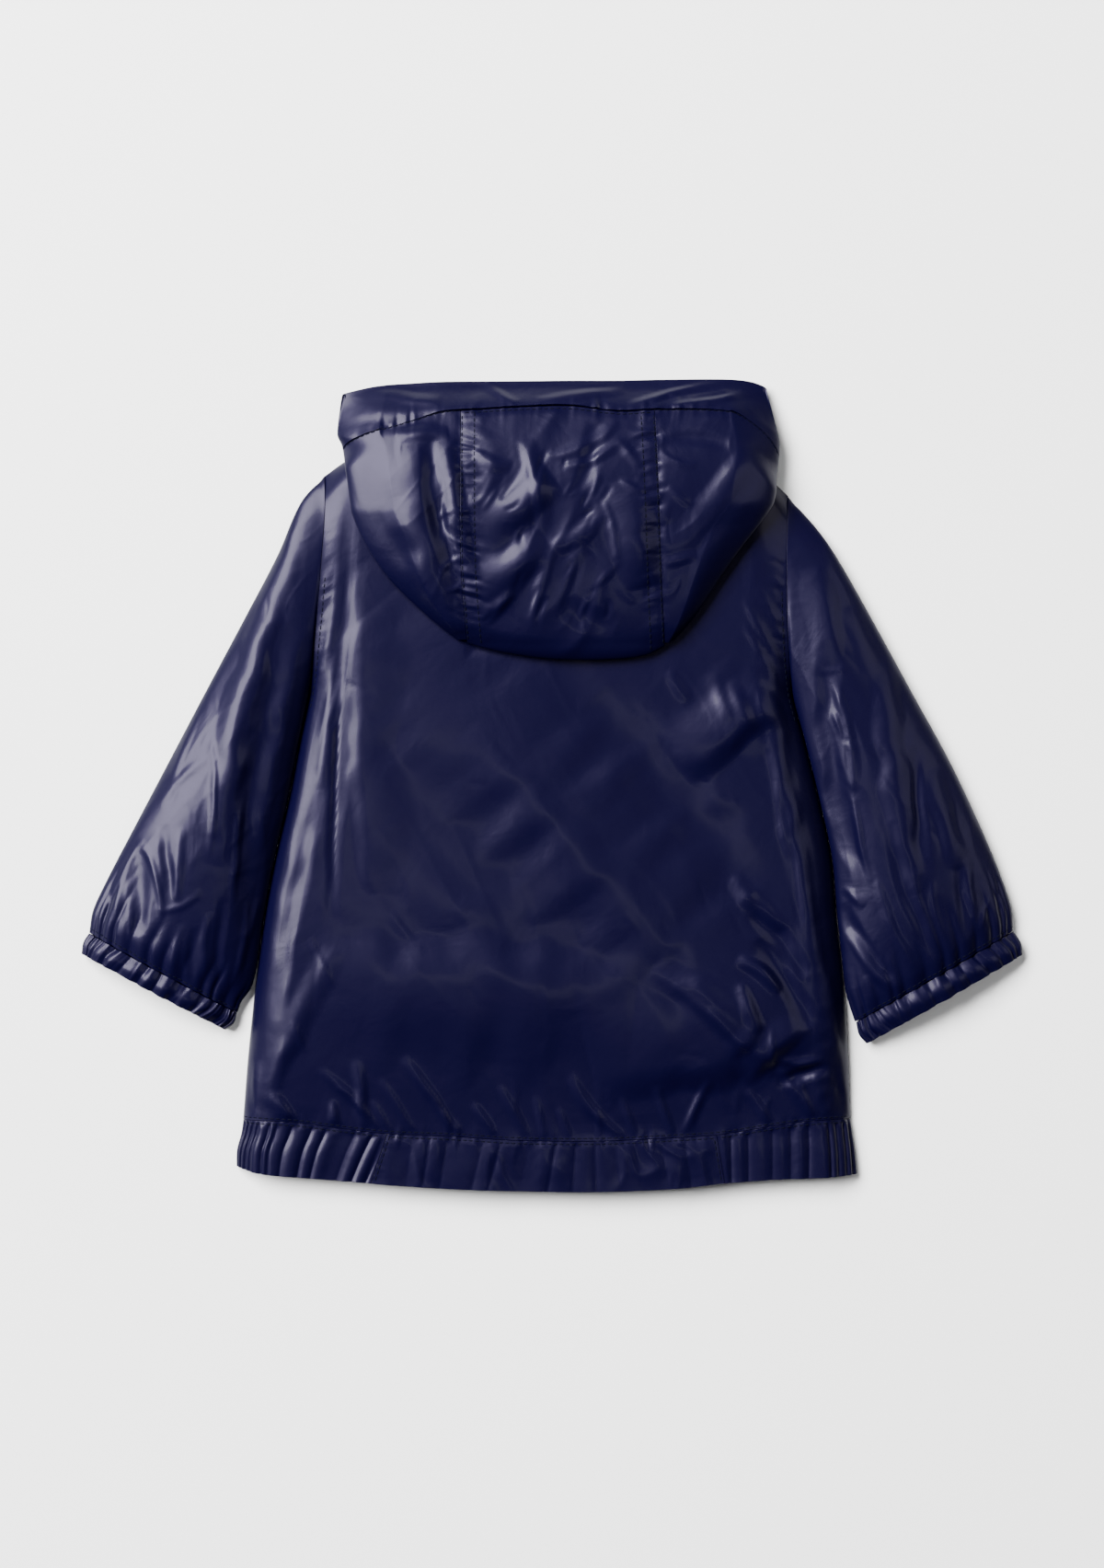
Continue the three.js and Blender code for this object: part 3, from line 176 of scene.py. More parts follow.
# Creases: x0, y0, x1, y1, bow to the right, width on the left and on the right, height (a trough is
# below 0), crispness from 0 to 1 and, for some, a fan: above 0 the start is wide and the end narrow
BACK_CREASES = [
    # deep crease down the left and the ridges on both sides of it
    (-109, 160, -120, -76, 1.5, 7, 4.6, -1.2, 0.2), (-109, 152, -119.5, -58, 1.5, 2.4, 2, -1, 1),
    (-115, 120, -130.5, 48, -3, 3, 3, 0.8, 0.8), (-119.5, 96, -131.5, 44, -2.5, 2, 2, 0.5, 1),
    (-119, 62, -125.5, -2, 0, 4, 4, 1.1, 0.4), (-127, 78, -158, -114, -3, 7, 8, 0.8, 0.1),
    (-123, 10, -151, -128, 2, 7, 7, -1.2, 0.1), (-117, -88, -157, -176, 2, 9, 8, 1.5, 0.2),
    (-131, -84, -118, -110, 0, 2.6, 2.6, 0.7, 0.8), (-141, -128, -134, -146, 0, 2.4, 2.4, 0.5, 0.8),
    # broad folds over the middle
    (-100, 92, 118, -162, -8, 54, 46, 3, 0), (-98, 120, -96, -60, 6, 24, 9, 1.6, 0),
    (22, -158, 140, -132, 4, 62, 18, 3.6, 0), (56, -98, 118, -148, -3, 12, 13, 2, 0.2),
    (84, -122, 123, -153, 3, 7, 4, 1.2, 0.5), (104, -162, 136, -130, 0, 12, 7, 2.6, 0.2),
    (96, -146, 116, -128, 0, 7, 6, 1.1, 0.2), (121, -149, 142, -181, 0, 5, 4, 1.6, 0.4),
    (55, -100, 119, -159, -2, 4.5, 5, 0.9, 0.6), (-44, 30, 66, -92, 4, 16, 18, 0.9, 0),
    (20, 44, 108, -60, -6, 22, 22, -1.5, 0), (-90, -20, 10, -128, 4, 16, 20, 0.7, 0),
    (-128, -104, 44, -122, -4, 30, 52, 3.2, 0), (-88, -70, -70, -92, 0, 3, 3, 0.3, 0.4),
    # bump and fine lines below the hood at the right
    (70, 8, 122, 46, -2, 26, 13, 3.6, 0), (86, 62, 121, 20, 4, 20, 16, 1.2, 0),
    (97, 56, 112, 26, 2, 6, 7, 0.8, 0.2), (112, 52, 118, 32, 1, 4, 5, 0.7, 0.2),
    (88, 60, 96, 34, 0, 5, 6, 0.6, 0.2), (104, 100, 128, 58, 0, 3, 3.4, 0.9, 0.6),
    (104, 86, 123, 50, -1, 2.6, 3, 0.8, 0.7), (112, 108, 127, 76, 0, 2.4, 2.4, 0.6, 0.7),
    (62, 60, 74, 44, 0, 5, 5, 0.8, 0.3),
    # ridge and troughs down the right
    (119, 70, 157, -148, 5, 6, 9, 2, 0.1), (127, 30, 148, -120, 6, 5, 5, -1, 0.1),
    (98, -50, 124, -80, 0, 6, 7, 1.6, 0.1), (101, -94, 124, -112, -2, 5, 6, 2.1, 0.2),
    (102, -108, 112, -134, 0, 4, 6, 2.1, 0.2), (106, -62, 138, -104, 0, 8, 8, -1.92, 0),
    (112, -84, 140, -132, 0, 8, 8, -2.25, 0), (119, -130, 119, -160, 0, 3, 3, 0.8, 0.8),
    (118, -148, 148, -151, 2, 4, 3.4, 1.3, 0.6), (122, -161, 150, -153, 0, 6, 6, -2.16, 0.1),
    (146, -118, 157, -152, 0, 2.4, 2.4, 0.6, 0.7), (143, -128, 154, -158, 0, 2.2, 2.2, 0.6, 0.7),
    # gathers that run up from the hem seam
    (-126, -155, -94, -189, -2, 3.2, 3.4, 1.22, 0.4), (-98, -172, -88, -190, 0, 2.4, 2.6, 0.94, 0.5),
    (-93, -160, -74, -190, 0, 2.8, 3, 1.08, 0.4), (-80, -148, -50, -190, 1, 4.4, 4.6, 1.62, 0.3),
    (-43, -174, -31, -191, 0, 3, 3, 1.08, 0.3), (-29, -164, -13, -191, 0, 3.2, 3.4, 1.22, 0.3),
    (-9, -170, -3, -193, 0, 2.6, 2.6, 0.94, 0.3), (3, -176, 11, -193, 0, 2.6, 2.6, 0.94, 0.4),
    (10, -158, 40, -192, 4, 4, 4.4, 1.49, 0.2), (38, -170, 46, -192, 0, 2.6, 2.8, 0.94, 0.3),
    (56, -164, 66, -192, 0, 3.2, 3.4, 1.22, 0.3), (85, -160, 71, -190, 0, 5, 2.6, 1.35, 0.3),
    (106, -166, 120, -187, 0, 3.2, 3.4, 1.22, 0.4), (133, -158, 143, -184, 0, 2.6, 2.6, 0.94, 0.5),
    (143, -158, 152, -183, 0, 2.4, 2.6, 0.94, 0.5), (152, -148, 160, -182, 0, 3, 3, -1.22, 0.3),
    (-152, -168, -140, -186, 0, 4, 5, 1.62, 0.2), (-162, -150, -160, -184, 0, 3, 3, 1.08, 0.3),
    (-120, -172, -117, -187, 0, 4, 4, 1.49, 0.2), (-106, -150, -101, -188, 0, 5, 5, 1.49, 0.1),
    (-60, -176, -55, -191, 0, 2.4, 2.4, 0.81, 0.4), (24, -176, 27, -193, 0, 2.4, 2.4, 0.81, 0.4),
]
SLEEVE_CREASES = {
    "left": [
        (-141, 130, -182, -44, 6, 9, 11, 2.6, 0.15), (-152, 92, -184, -30, 2, 12, 20, 1.5, 0),
        (-139, 96, -166, -82, 7, 9, 9, -2.6, 0), (-166, 0, -173, -66, 1, 3.4, 3.4, 0.9, 0.3),
        (-185, 24, -186, -40, -3, 2.6, 4, 0.9, 0.5), (-192, 40, -206, 0, 2, 4, 5, 0.8, 0.2),
        (-188, 14, -214, -12, 2, 4, 4, 0.7, 0.2), (-223, -30, -236, -78, 5, 3.2, 3.2, 0.9, 0.4),
        (-224, -30, -212, -76, -4, 3.2, 3.2, 0.9, 0.4), (-223, -36, -226, -82, 0, 7, 7, -2.1, 0),
        (-210, -22, -208, -66, 0, 4.4, 4.4, -1.3, 0.1), (-201, -24, -203, -64, 0, 4.4, 4, 1.1, 0.1),
        (-214, -69, -190, -58, 3, 3, 3, 0.8, 0.6), (-228, -68, -229, -88, 0, 2.6, 2.6, 0.7, 0.4),
        (-240, -52, -245, -84, 0, 3, 3, -0.9, 0.3), (-186, -70, -188, -108, 2, 4, 4, 1.1, 0.2),
        (-194, -78, -196, -112, 0, 3.4, 3.4, -1, 0.2), (-202, -76, -207, -106, 0, 4, 4, 1.1, 0.2),
        (-177, -62, -181, -114, 2, 4, 4, -1.2, 0.1), (-165, -64, -174, -110, -2, 4, 3, 0.9, 0.3),
        (-160, -62, -164, -84, 0, 3, 3, 0.8, 0.4), (-216, -84, -217, -102, 0, 2.4, 2.4, 0.6, 0.4),
        (-236, -76, -238, -90, 0, 2.2, 2.2, 0.6, 0.4),
    ],
    "right": [
        (144, 118, 150, 60, -3, 8, 12, 1.6, 0), (150, 62, 164, -4, -3, 5, 4, 1.2, 0.3),
        (145, 61, 160, 62, 0, 2.4, 2, 0.6, 0.9), (156, 24, 166, 23, 0, 1.8, 1.8, -0.5, 0.9),
        (163, -8, 173, -54, 1, 3.6, 3.6, 1, 0.4), (150, 78, 172, -60, 8, 8, 8, -2.2, 0),
        (178, 66, 197, -60, 1, 10, 10, 2.4, 0), (184, -20, 212, -99, 5, 5, 5, -1.5, 0.2),
        (198, 20, 202, -48, 1, 5, 5, -1.5, 0.1), (206, 8, 221, -46, 1, 8, 7, 2, 0.1),
        (196, -46, 211, -92, 3, 3.6, 3.6, 1, 0.4), (206, -52, 215, -90, 2, 3, 3, 0.8, 0.4),
        (220, -44, 224, -84, 0, 3.4, 3.4, -1, 0.2), (226, -40, 229, -84, 0, 4, 4, 1.1, 0.2),
        (237, -62, 232, -80, 0, 2.8, 2.8, 0.8, 0.5), (242, -52, 245, -78, 0, 3, 3, -0.9, 0.3),
        (158, -56, 170, -66, 0, 3.6, 3.4, 0.9, 0.6), (157, -66, 184, -106, 1, 5, 5, -1.5, 0.1),
        (162, -78, 190, -116, 3, 5, 5, 1.4, 0.2), (176, -52, 196, -100, 2, 4, 4, 1.1, 0.2),
        (170, -104, 178, -124, 0, 3, 3, 0.8, 0.4), (152, 40, 158, 26, 0, 2.4, 2.4, 0.6, 0.6),
        (160, 96, 176, 60, 0, 8, 8, 0.9, 0),
    ],
}
HOOD_CREASES = [
    # left panel: a draped U between two ridges that meet at its lower end
    (-74, 198, -47, 82, 11, 14, 18, 4.2, 0, 0.2), (-57, 192, -44, 112, 3, 8, 9, 2.4, 0),
    (-66, 186, -54, 118, 4, 6, 6, -1.6, 0.1), (-84, 186, -56, 190, -2, 6, 5, 1.2, 0.1),
    (-100, 176, -74, 112, 7, 5, 5, -0.8, 0.1), (-62, 142, -50, 147, -2, 3.4, 3, 0.5, 0.4),
    (-60, 113, -49, 121, -2, 3, 2.8, 0.6, 0.4), (-58, 104, -48, 110, 2, 3, 2.6, 0.6, 0.4),
    # middle panel
    (-44, 136, 0, 166, 3, 19, 15, 3.4, 0, 0.3), (-46, 98, -3, 131, 3, 16, 13, 3.2, 0, 0.3),
    (-44, 86, -20, 103, 1, 7, 5, 1.4, 0.1, 0.4), (-42, 180, -22, 172, 3, 6, 5, 1.1, 0.1),
    (-16, 186, -6, 134, -3, 7, 5, 1.3, 0.1), (5, 132, -12, 84, 3, 5, 6, 0.8, 0.2, 0.3),
    (-2, 176, 36, 196, 4, 5, 4, 0.9, 0.3), (6, 170, 38, 186, 3, 4, 4, 0.8, 0.4),
    (24, 196, 12, 156, -3, 6, 6, -1.1, 0.1), (38, 164, 50, 106, -3, 11, 17, 3.2, 0, 0.2),
    (28, 154, 36, 118, -1, 3, 3.4, 0.6, 0.6), (2, 126, 28, 148, 3, 8, 6, 1.4, 0.1),
    (24, 106, 36, 120, 0, 3, 3, 0.5, 0.5), (36, 186, 48, 172, 0, 4, 4, 0.7, 0.4),
    (36, 164, 50, 156, 0, 3.4, 3.4, 0.6, 0.5), (4, 96, 34, 84, 0, 9, 9, -1, 0),
    # right panel
    (60, 186, 96, 184, -3, 4, 6, -1, 0.1), (58, 180, 78, 172, 2, 3, 4, 0.6, 0.5),
    (114, 190, 63, 124, -4, 10, 11, 1.5, 0), (114, 162, 76, 92, 4, 9, 10, 1, 0),
    (62, 160, 76, 150, 0, 4, 4, 0.7, 0.4), (60, 118, 78, 124, 0, 5, 5, 0.8, 0.2),
]
# Small creases strewn over the hood: number, box, way, spread, sizes and seed
HOOD_CRINKLES = [
    (18, ((-44, 52), (80, 196)), 60, 40, ((8, 24), 0.35), 11),
    (26, ((-34, 34), (92, 180)), 66, 16, ((8, 26), 0.6), 14),
    (10, ((-105, -50), (95, 190)), 75, 30, ((10, 28), 0.2), 12),
    (12, ((60, 116), (90, 196)), 45, 34, ((10, 28), 0.2), 13),
]
BAND_CREASES = [
    (-136, 204, 128, 206, 3, 18, 7, 1.7, 0), (40, 204, 92, 218, -2, 4, 4, 1, 0.2),
    (62, 205, 112, 216, 2, 3, 3, 0.8, 0.3), (-36, 218, -18, 205, 0, 4, 4, 0.7, 0.1),
    (-100, 214, -60, 208, 0, 6, 6, 0.7, 0), (-8, 207, 40, 216, 0, 4, 5, 0.7, 0.1),
]

# Colours as linear light
NAVY = (0.0008, 0.0004, 0.0085, 1)
SHEEN_OF_COATING = (0.74, 0.66, 1.0, 1)
THREAD = (0.0012, 0.0014, 0.006, 1)
STUD = (0.012, 0.015, 0.045, 1)
FLOOR = (0.84, 0.84, 0.84, 1)


def ramp(low, high, v):
    """A smooth step from 0 at low to 1 at high."""
    t = np.clip((v - low) / (high - low), 0, 1)
    return t * t * (3 - 2 * t)


def lerp(a, b, t):
    return a + (b - a) * t


def quarter(t):
    """A rounding that rises from 0 to 1, a little flatter than a quarter of a circle."""
    return (1 - (1 - np.clip(t, 0, 1)) ** EDGE_POWER) ** (1 / EDGE_POWER)


def curve(x, y):
    """y as a smooth curve of x, held level past both ends."""
    last = len(x) - 1
    ahead = np.minimum(np.arange(len(x)) + 1, last)
    behind = np.maximum(np.arange(len(x)) - 1, 0)
    slope = (y[ahead] - y[behind]) / (x[ahead] - x[behind])

    def value(v):
        v = np.clip(v, x[0], x[-1])
        i = np.clip(np.searchsorted(x, v, side="right") - 1, 0, last - 1)
        span = x[i + 1] - x[i]
        t = (v - x[i]) / span
        rise = y[i + 1] - y[i]
        low, high = slope[i] * span, slope[i + 1] * span
        return y[i] + t * (low + t * (3 * rise - 2 * low - high + t * (low + high - 2 * rise)))

    return value


def curves(rows):
    """The columns of a table after its first one, each as a curve of the first."""
    at, *others = rows
    return {name: curve(rows[at], rows[name]) for name in others}


def wobble(v, step, seed):
    """Smooth random wave along a line, from -1 to 1, with a new value every step."""
    count, first = 512, 200
    knots = np.random.default_rng(SEED + seed).uniform(-1, 1, count)
    place = v / step + first
    i = np.floor(place).astype(int)
    return lerp(knots[i % count], knots[(i + 1) % count], ramp(0, 1, place - i))


def uneven(x, y, way, long, short, seed):
    """Smooth random height over a surface, from -1 to 1, drawn out along one direction in degrees."""
    count, first = 128, 60
    knots = np.random.default_rng(SEED + seed).uniform(-1, 1, (count, count))
    cos, sin = np.cos(np.radians(way)), np.sin(np.radians(way))
    u = (x * cos + y * sin) / long + first
    v = (y * cos - x * sin) / short + first
    i, j = np.floor(u).astype(int), np.floor(v).astype(int)
    a, b = ramp(0, 1, u - i), ramp(0, 1, v - j)
    i, j, next_i, next_j = i % count, j % count, (i + 1) % count, (j + 1) % count
    near = lerp(knots[i, j], knots[next_i, j], a)
    far = lerp(knots[i, next_j], knots[next_i, next_j], a)
    return lerp(near, far, b)


def crumple(x, y, way, size, seed):
    """Soft unevenness of the cloth with a few sharp small ridges, drawn out along one direction."""
    broad = 0.55 * uneven(x, y, way, 2.6 * size, size, seed)
    middle = 0.2 * uneven(x, y, way + 20, size, 0.4 * size, seed + 1)
    ridge = (1 - np.abs(uneven(x, y, way - 14, 1.3 * size, 0.5 * size, seed + 2))) ** 6
    return broad + middle + 0.16 * ridge * (1 + uneven(x, y, 0, 2 * size, 2 * size, seed + 3))


def drape(x, y, way, size, seed):
    """Folds that run along one direction in degrees, wander, split and meet, from 0 to about 1."""
    reach = 0.6 * size
    u = x + reach * uneven(x, y, way, 2 * size, 2 * size, seed)
    v = y + reach * uneven(x, y, way, 2 * size, 2 * size, seed + 1)
    high = 0.5 + 0.5 * uneven(x, y, way, 3 * size, 2 * size, seed + 4)
    broad = 1 - np.sqrt(uneven(u, v, way, 2.8 * size, size, seed + 2) ** 2 + 0.01)
    narrow = 1 - np.sqrt(uneven(u, v, way + 24, 1.5 * size, 0.45 * size, seed + 3) ** 2 + 0.006)
    return high * (broad**2 + 0.14 * narrow**2 * broad)


def crease_height(creases, x, y):
    """Sum of the creases at each point: each is a ridge or trough that dies out at both ends."""
    total = np.zeros(np.broadcast(x, y).shape)
    for number, (x0, y0, x1, y1, bow, left, right, high, crisp, *fan) in enumerate(creases):
        fan = fan[0] if fan else 0
        dx, dy = x1 - x0, y1 - y0
        long = np.hypot(dx, dy)
        t = ((x - x0) * dx + (y - y0) * dy) / long**2
        inside = (t > 0) & (t < 1)
        t = np.clip(t, 0, 1)
        wander = 0.18 * min(left, right) * wobble(t * long, 14, number)
        across = ((x - x0) * dy - (y - y0) * dx) / long - bow * 4 * t * (1 - t) - wander
        wide = np.where(across < 0, left, right) * (1 + fan * (1 - 2 * t))
        wide *= 1 + 0.2 * wobble(t * long, 17, number + 90)
        q = np.clip(np.abs(across) / wide, 0, 1)
        section = lerp((1 - q * q) ** 2, (1 - q) ** 2, crisp)
        fade = np.sin(np.pi * t ** (1 + fan)) ** (0.7 + 0.5 * abs(fan))
        total += np.where(inside, high * section * fade, 0)
    return total


def crinkles(count, box, way, spread, sizes, seed):
    """Small creases strewn over a box: way is their usual direction, sizes their reach and height."""
    random = np.random.default_rng(SEED + seed)
    (x0, x1), (y0, y1) = box
    (short, long), high = sizes
    rows = []
    for _ in range(count):
        x, y = random.uniform(x0, x1), random.uniform(y0, y1)
        angle = np.radians(way + random.normal(0, spread))
        half = random.uniform(short, long) / 2
        dx, dy = half * np.cos(angle), half * np.sin(angle)
        wide = random.uniform(0.15, 0.3) * half + 1
        rise = high * random.uniform(0.3, 1) * random.choice((-1, 1))
        bow = random.normal(0, 0.15) * half
        fan = random.uniform(-0.7, 0.7)
        crisp = random.uniform(0.3, 0.9)
        rows.append((x - dx, y - dy, x + dx, y + dy, bow, wide, wide, rise, crisp, fan))
    return rows


def gathers(s, count, seed):
    """Uneven gathers along a piece, from 0 in a sharp trough to 1 on a rounded ridge."""
    warped = count * s + 0.42 * wobble(count * s, 1.3, seed) + 0.3 * wobble(count * s, 3.1, seed + 1)
    high = 0.68 + 0.32 * wobble(warped, 1, seed + 2)
    return high * np.abs(np.sin(np.pi * warped)) ** 0.8


def puckers(along, off, period, reach, seed):
    """Short uneven puckers square to a line of stitches, from -1 to 1, that fade away from it."""
    wave = wobble(along + 0.25 * off * wobble(along, 3 * period, seed), period / 2, seed + 1)
    strong = 0.25 + 0.75 * np.abs(wobble(along, 2.6 * period, seed + 2))
    reached = reach * (0.75 + 0.55 * wobble(along, 0.8 * period, seed + 3))
    return strong * wave * np.exp(-(np.abs(off) / reached) ** 1.4)


def zones(*counts):
    """Values from 0 to the number of zones, with the given number of steps in each zone."""
    parts = [zone + np.arange(n) / n for zone, n in enumerate(counts)]
    return np.append(np.concatenate(parts), len(counts))


def meet(x_at, y_at):
    """Where a line up the coat, x = x_at(y), meets a line across it, y = y_at(x)."""
    y = 0.0
    for _ in range(7):
        y = y_at(x_at(y))
    return np.broadcast_arrays(x_at(y), y)


def climb(low, high, v):
    """Height up the coat from low to high: 0 to 1 below the last rounding, 1 to 2 round it."""
    straight = lerp(low, high - TOP_ROUND, v)
    turned = high - TOP_ROUND * (1 - np.sin((v - 1) * np.pi / 2))
    return np.where(v < 1, straight, turned)


def points(x, y, z):
    """Points from their coordinates, which may be numbers or grids."""
    return np.stack(np.broadcast_arrays(x, y, z), axis=-1)


def unit(v):
    return v / np.maximum(np.linalg.norm(v, axis=-1, keepdims=True), 1e-9)


def add_mesh(name, vertices, faces, material, uv=None):
    """A smooth mesh from points in millimetres."""
    mesh = bpy.data.meshes.new(name)
    mesh.from_pydata((np.asarray(vertices) * MILLIMETRE).tolist(), [], faces)
    mesh.polygons.foreach_set("use_smooth", [True] * len(mesh.polygons))
    if uv is not None:
        layer = mesh.uv_layers.new(name="cloth")
        corners = np.empty(len(mesh.loops), dtype=np.int32)
        mesh.loops.foreach_get("vertex_index", corners)
        layer.data.foreach_set("uv", uv[corners].astype(np.float32).ravel())
    mesh.materials.append(material)
    piece = bpy.data.objects.new(name, mesh)
    bpy.context.scene.collection.objects.link(piece)
    return piece


class Cloth:
    """Cloth over the smooth surface base(s, v), raised along its normal by relief(s, v, x, y)."""

    def __init__(self, base, relief=None, ring=0, outward=1):
        self.base = base
        self.relief = relief
        self.ring = ring
        self.outward = outward

    def normals(self, s, v):
        nudge = 0.01
        if self.ring:
            ahead, behind = (s + nudge) % self.ring, (s - nudge) % self.ring
        else:
            ahead, behind = np.minimum(s + nudge, self.s_last), np.maximum(s - nudge, 0)
        ds = self.base(ahead, v) - self.base(behind, v)
        dv = self.base(s, np.minimum(v + nudge, self.v_last)) - self.base(s, np.maximum(v - nudge, 0))
        return self.outward * unit(np.cross(ds, dv))

    def at(self, s, v):
        p = self.base(s, v)
        normal = self.normals(s, v)
        if self.relief:
            p = p + normal * self.relief(s, v, p[..., 0], p[..., 1])[..., None]
        return p, normal


def rim_rows(grid, normal, thick, inside):
    """Turns both ends of a grid's rows in through the cloth, and back under it for some rows."""
    near_edge, half_way, bulge = 0.12, 0.5, 0.1

    def end(order):
        rows, facing = grid[order], normal[order]
        edge, away = rows[0], unit(rows[0] - rows[1])
        turned = [lerp(edge, rows[1], near_edge), edge]
        turned.append(edge - facing[0] * thick * half_way + away * thick * bulge)
        turned += [rows[k] - facing[k] * thick for k in range(inside + 1)]
        return np.stack(turned), np.stack(3 * [facing[0]] + [facing[k] for k in range(inside + 1)])

    first, first_normal = end(slice(None))
    last, last_normal = end(slice(None, None, -1))
    grid = np.concatenate([first[::-1], grid[1:-1], last])
    return grid, np.concatenate([first_normal[::-1], normal[1:-1], last_normal])


def sew(name, cloth, across, along, node, thick=CLOTH, inside=0):
    """Makes and declares a piece of cloth: a grid above the floor with its free edges turned in."""
    cloth.s_last, cloth.v_last = across[-1], along[-1]
    columns = across[:-1] if cloth.ring else across
    s, v = np.meshgrid(columns, along)
    grid, normal = cloth.at(s, v)
    grid, normal = rim_rows(grid, normal, thick, inside)
    if not cloth.ring:
        turned, _ = rim_rows(grid.swapaxes(0, 1), normal.swapaxes(0, 1), thick, 0)
        grid = turned.swapaxes(0, 1)
    grid[..., 2] = np.maximum(grid[..., 2], 0)
    high, wide = grid.shape[:2]
    number = np.arange(high * wide).reshape(high, wide)
    if cloth.ring:
        number = np.concatenate([number, number[:, :1]], axis=1)
    a, b = number[:-1, :-1], number[:-1, 1:]
    c, d = number[1:, 1:], number[1:, :-1]
    corners = (a, b, c, d) if cloth.outward > 0 else (a, d, c, b)
    faces = np.stack(corners, axis=-1).reshape(-1, 4).tolist()
    vertices = grid.reshape(-1, 3)
    piece = add_mesh(name, vertices, faces, COATED, uv=vertices[:, :2] * MILLIMETRE)
    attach(piece, "root")
    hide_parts(node)
    return cloth


def plain(name, colour, roughness, shine=0.5):
    """A material of one colour and gloss."""
    material = bpy.data.materials.new(name)
    material.use_nodes = True
    shader = material.node_tree.nodes["Principled BSDF"]
    shader.inputs["Base Color"].default_value = colour
    shader.inputs["Roughness"].default_value = roughness
    shader.inputs["Specular IOR Level"].default_value = shine
    return material


def coating():
    """Navy cloth with a clear satin coating that is very slightly uneven."""
    material = plain("coated_cloth", NAVY, roughness=0.37, shine=0.112)
    nodes, links = material.node_tree.nodes, material.node_tree.links
    shader = nodes["Principled BSDF"]
    shader.inputs["Specular Tint"].default_value = SHEEN_OF_COATING
    shader.inputs["Coat Weight"].default_value = 0.05
    shader.inputs["Coat Roughness"].default_value = 0.16
    place = nodes.new("ShaderNodeTexCoord")
    previous = None
    for scale, depth in ((32, 0.0005), (200, 0.00005)):
        noise = nodes.new("ShaderNodeTexNoise")
        noise.inputs["Scale"].default_value = scale
        noise.inputs["Detail"].default_value = 3
        noise.inputs["Distortion"].default_value = 0.8
        links.new(place.outputs["Object"], noise.inputs["Vector"])
        bump = nodes.new("ShaderNodeBump")
        bump.inputs["Distance"].default_value = depth
        links.new(noise.outputs["Fac"], bump.inputs["Height"])
        if previous:
            links.new(previous.outputs["Normal"], bump.inputs["Normal"])
        previous = bump
    links.new(previous.outputs["Normal"], shader.inputs["Normal"])
    return material


COATED = coating()
THREAD_MATERIAL = plain("thread", THREAD, roughness=0.9, shine=0.05)
STUD_MATERIAL = plain("snap", STUD, roughness=0.35)

# Lines of the laid coat
body_left, body_right, body_crown = curves(BODY).values()
hem_seam, hem_edge = curves(HEM).values()
hood_left, hood_right, hood_top = curves(HOOD).values()
hood_stitch, hood_top_edge = curves(HOOD_BAND).values()
hood_seam = curves(HOOD_SEAMS)
top_line = curves(TOP_LINE)["y"]
hood_fold_y = curves(HOOD_FOLD)["y"]
SIGN = {"left": -1, "right": 1}
EDGE_X = {"left": body_left, "right": body_right}


def rim_z(side, y):
    """Height of the back's side edge: on the side seam, or up at the armhole."""
    low, high = SLEEVES[side]["inY"][0], SLEEVES[side]["outY"][0]
    f = np.clip((y - low) / (high - low), 0, 1)
    return SEAM_Z + (ARMHOLE_Z - SEAM_Z) * (1 - (2 * f - 1) ** 2) ** (ARCH_POWER / 2)


def open_back_z(x, y):
    """Height of the back before it is closed at the shoulders."""
    left, right = body_left(y), body_right(y)
    inward = np.minimum(x - left, right - x)
    rim = np.where(x - left < right - x, rim_z("left", y), rim_z("right", y))
    armhole = (rim - SEAM_Z) / (ARMHOLE_Z - SEAM_Z)
    rise = quarter(inward / SIDE_ROUND) ** (1 + armhole)
    across = 2 * (x - left) / (right - left) - 1
    return lerp(rim, body_crown(y) * (1 - BODY_FALL * across**2), rise)


def back_z(x, y):
    """Height of the back, closed down to the shoulder seams and left open at the neck."""
    opened = open_back_z(x, y)
    neck = np.maximum(0, 1 - (x / NECK_HALF) ** 2)
    edge = np.minimum(opened, lerp(SEAM_Z, NECK_Z, neck))
    return lerp(edge, opened, quarter((top_line(x) - y) / TOP_ROUND))


def clear_of_hood(x, y):
    """1 where the back is free, falling to 0 under the hood's edge."""
    inward = np.minimum(x - hood_left(y), hood_right(y) - x)
    return 1 - ramp(0, UNDER_HOOD, np.minimum(inward, y - HOOD_FOLD["y"].min()))


def hem_puckers(x, off):
    """Puckers along the hem seam, shared by the back and the hem band."""
    return 0.7 * puckers(x, off, period=5.2, reach=4.5, seed=7)


def across_body(s, y):
    """x across the laid body: 0 to 1 and 2 to 3 round its two edges, 1 to 2 over the back."""
    left, right = body_left(y), body_right(y)
    up = left + SIDE_ROUND * (1 - np.cos(s * np.pi / 2))
    down = right - SIDE_ROUND * (1 - np.cos((3 - s) * np.pi / 2))
    over = lerp(left + SIDE_ROUND, right - SIDE_ROUND, s - 1)
    return np.select([s < 1, s > 2], [up, down], over)


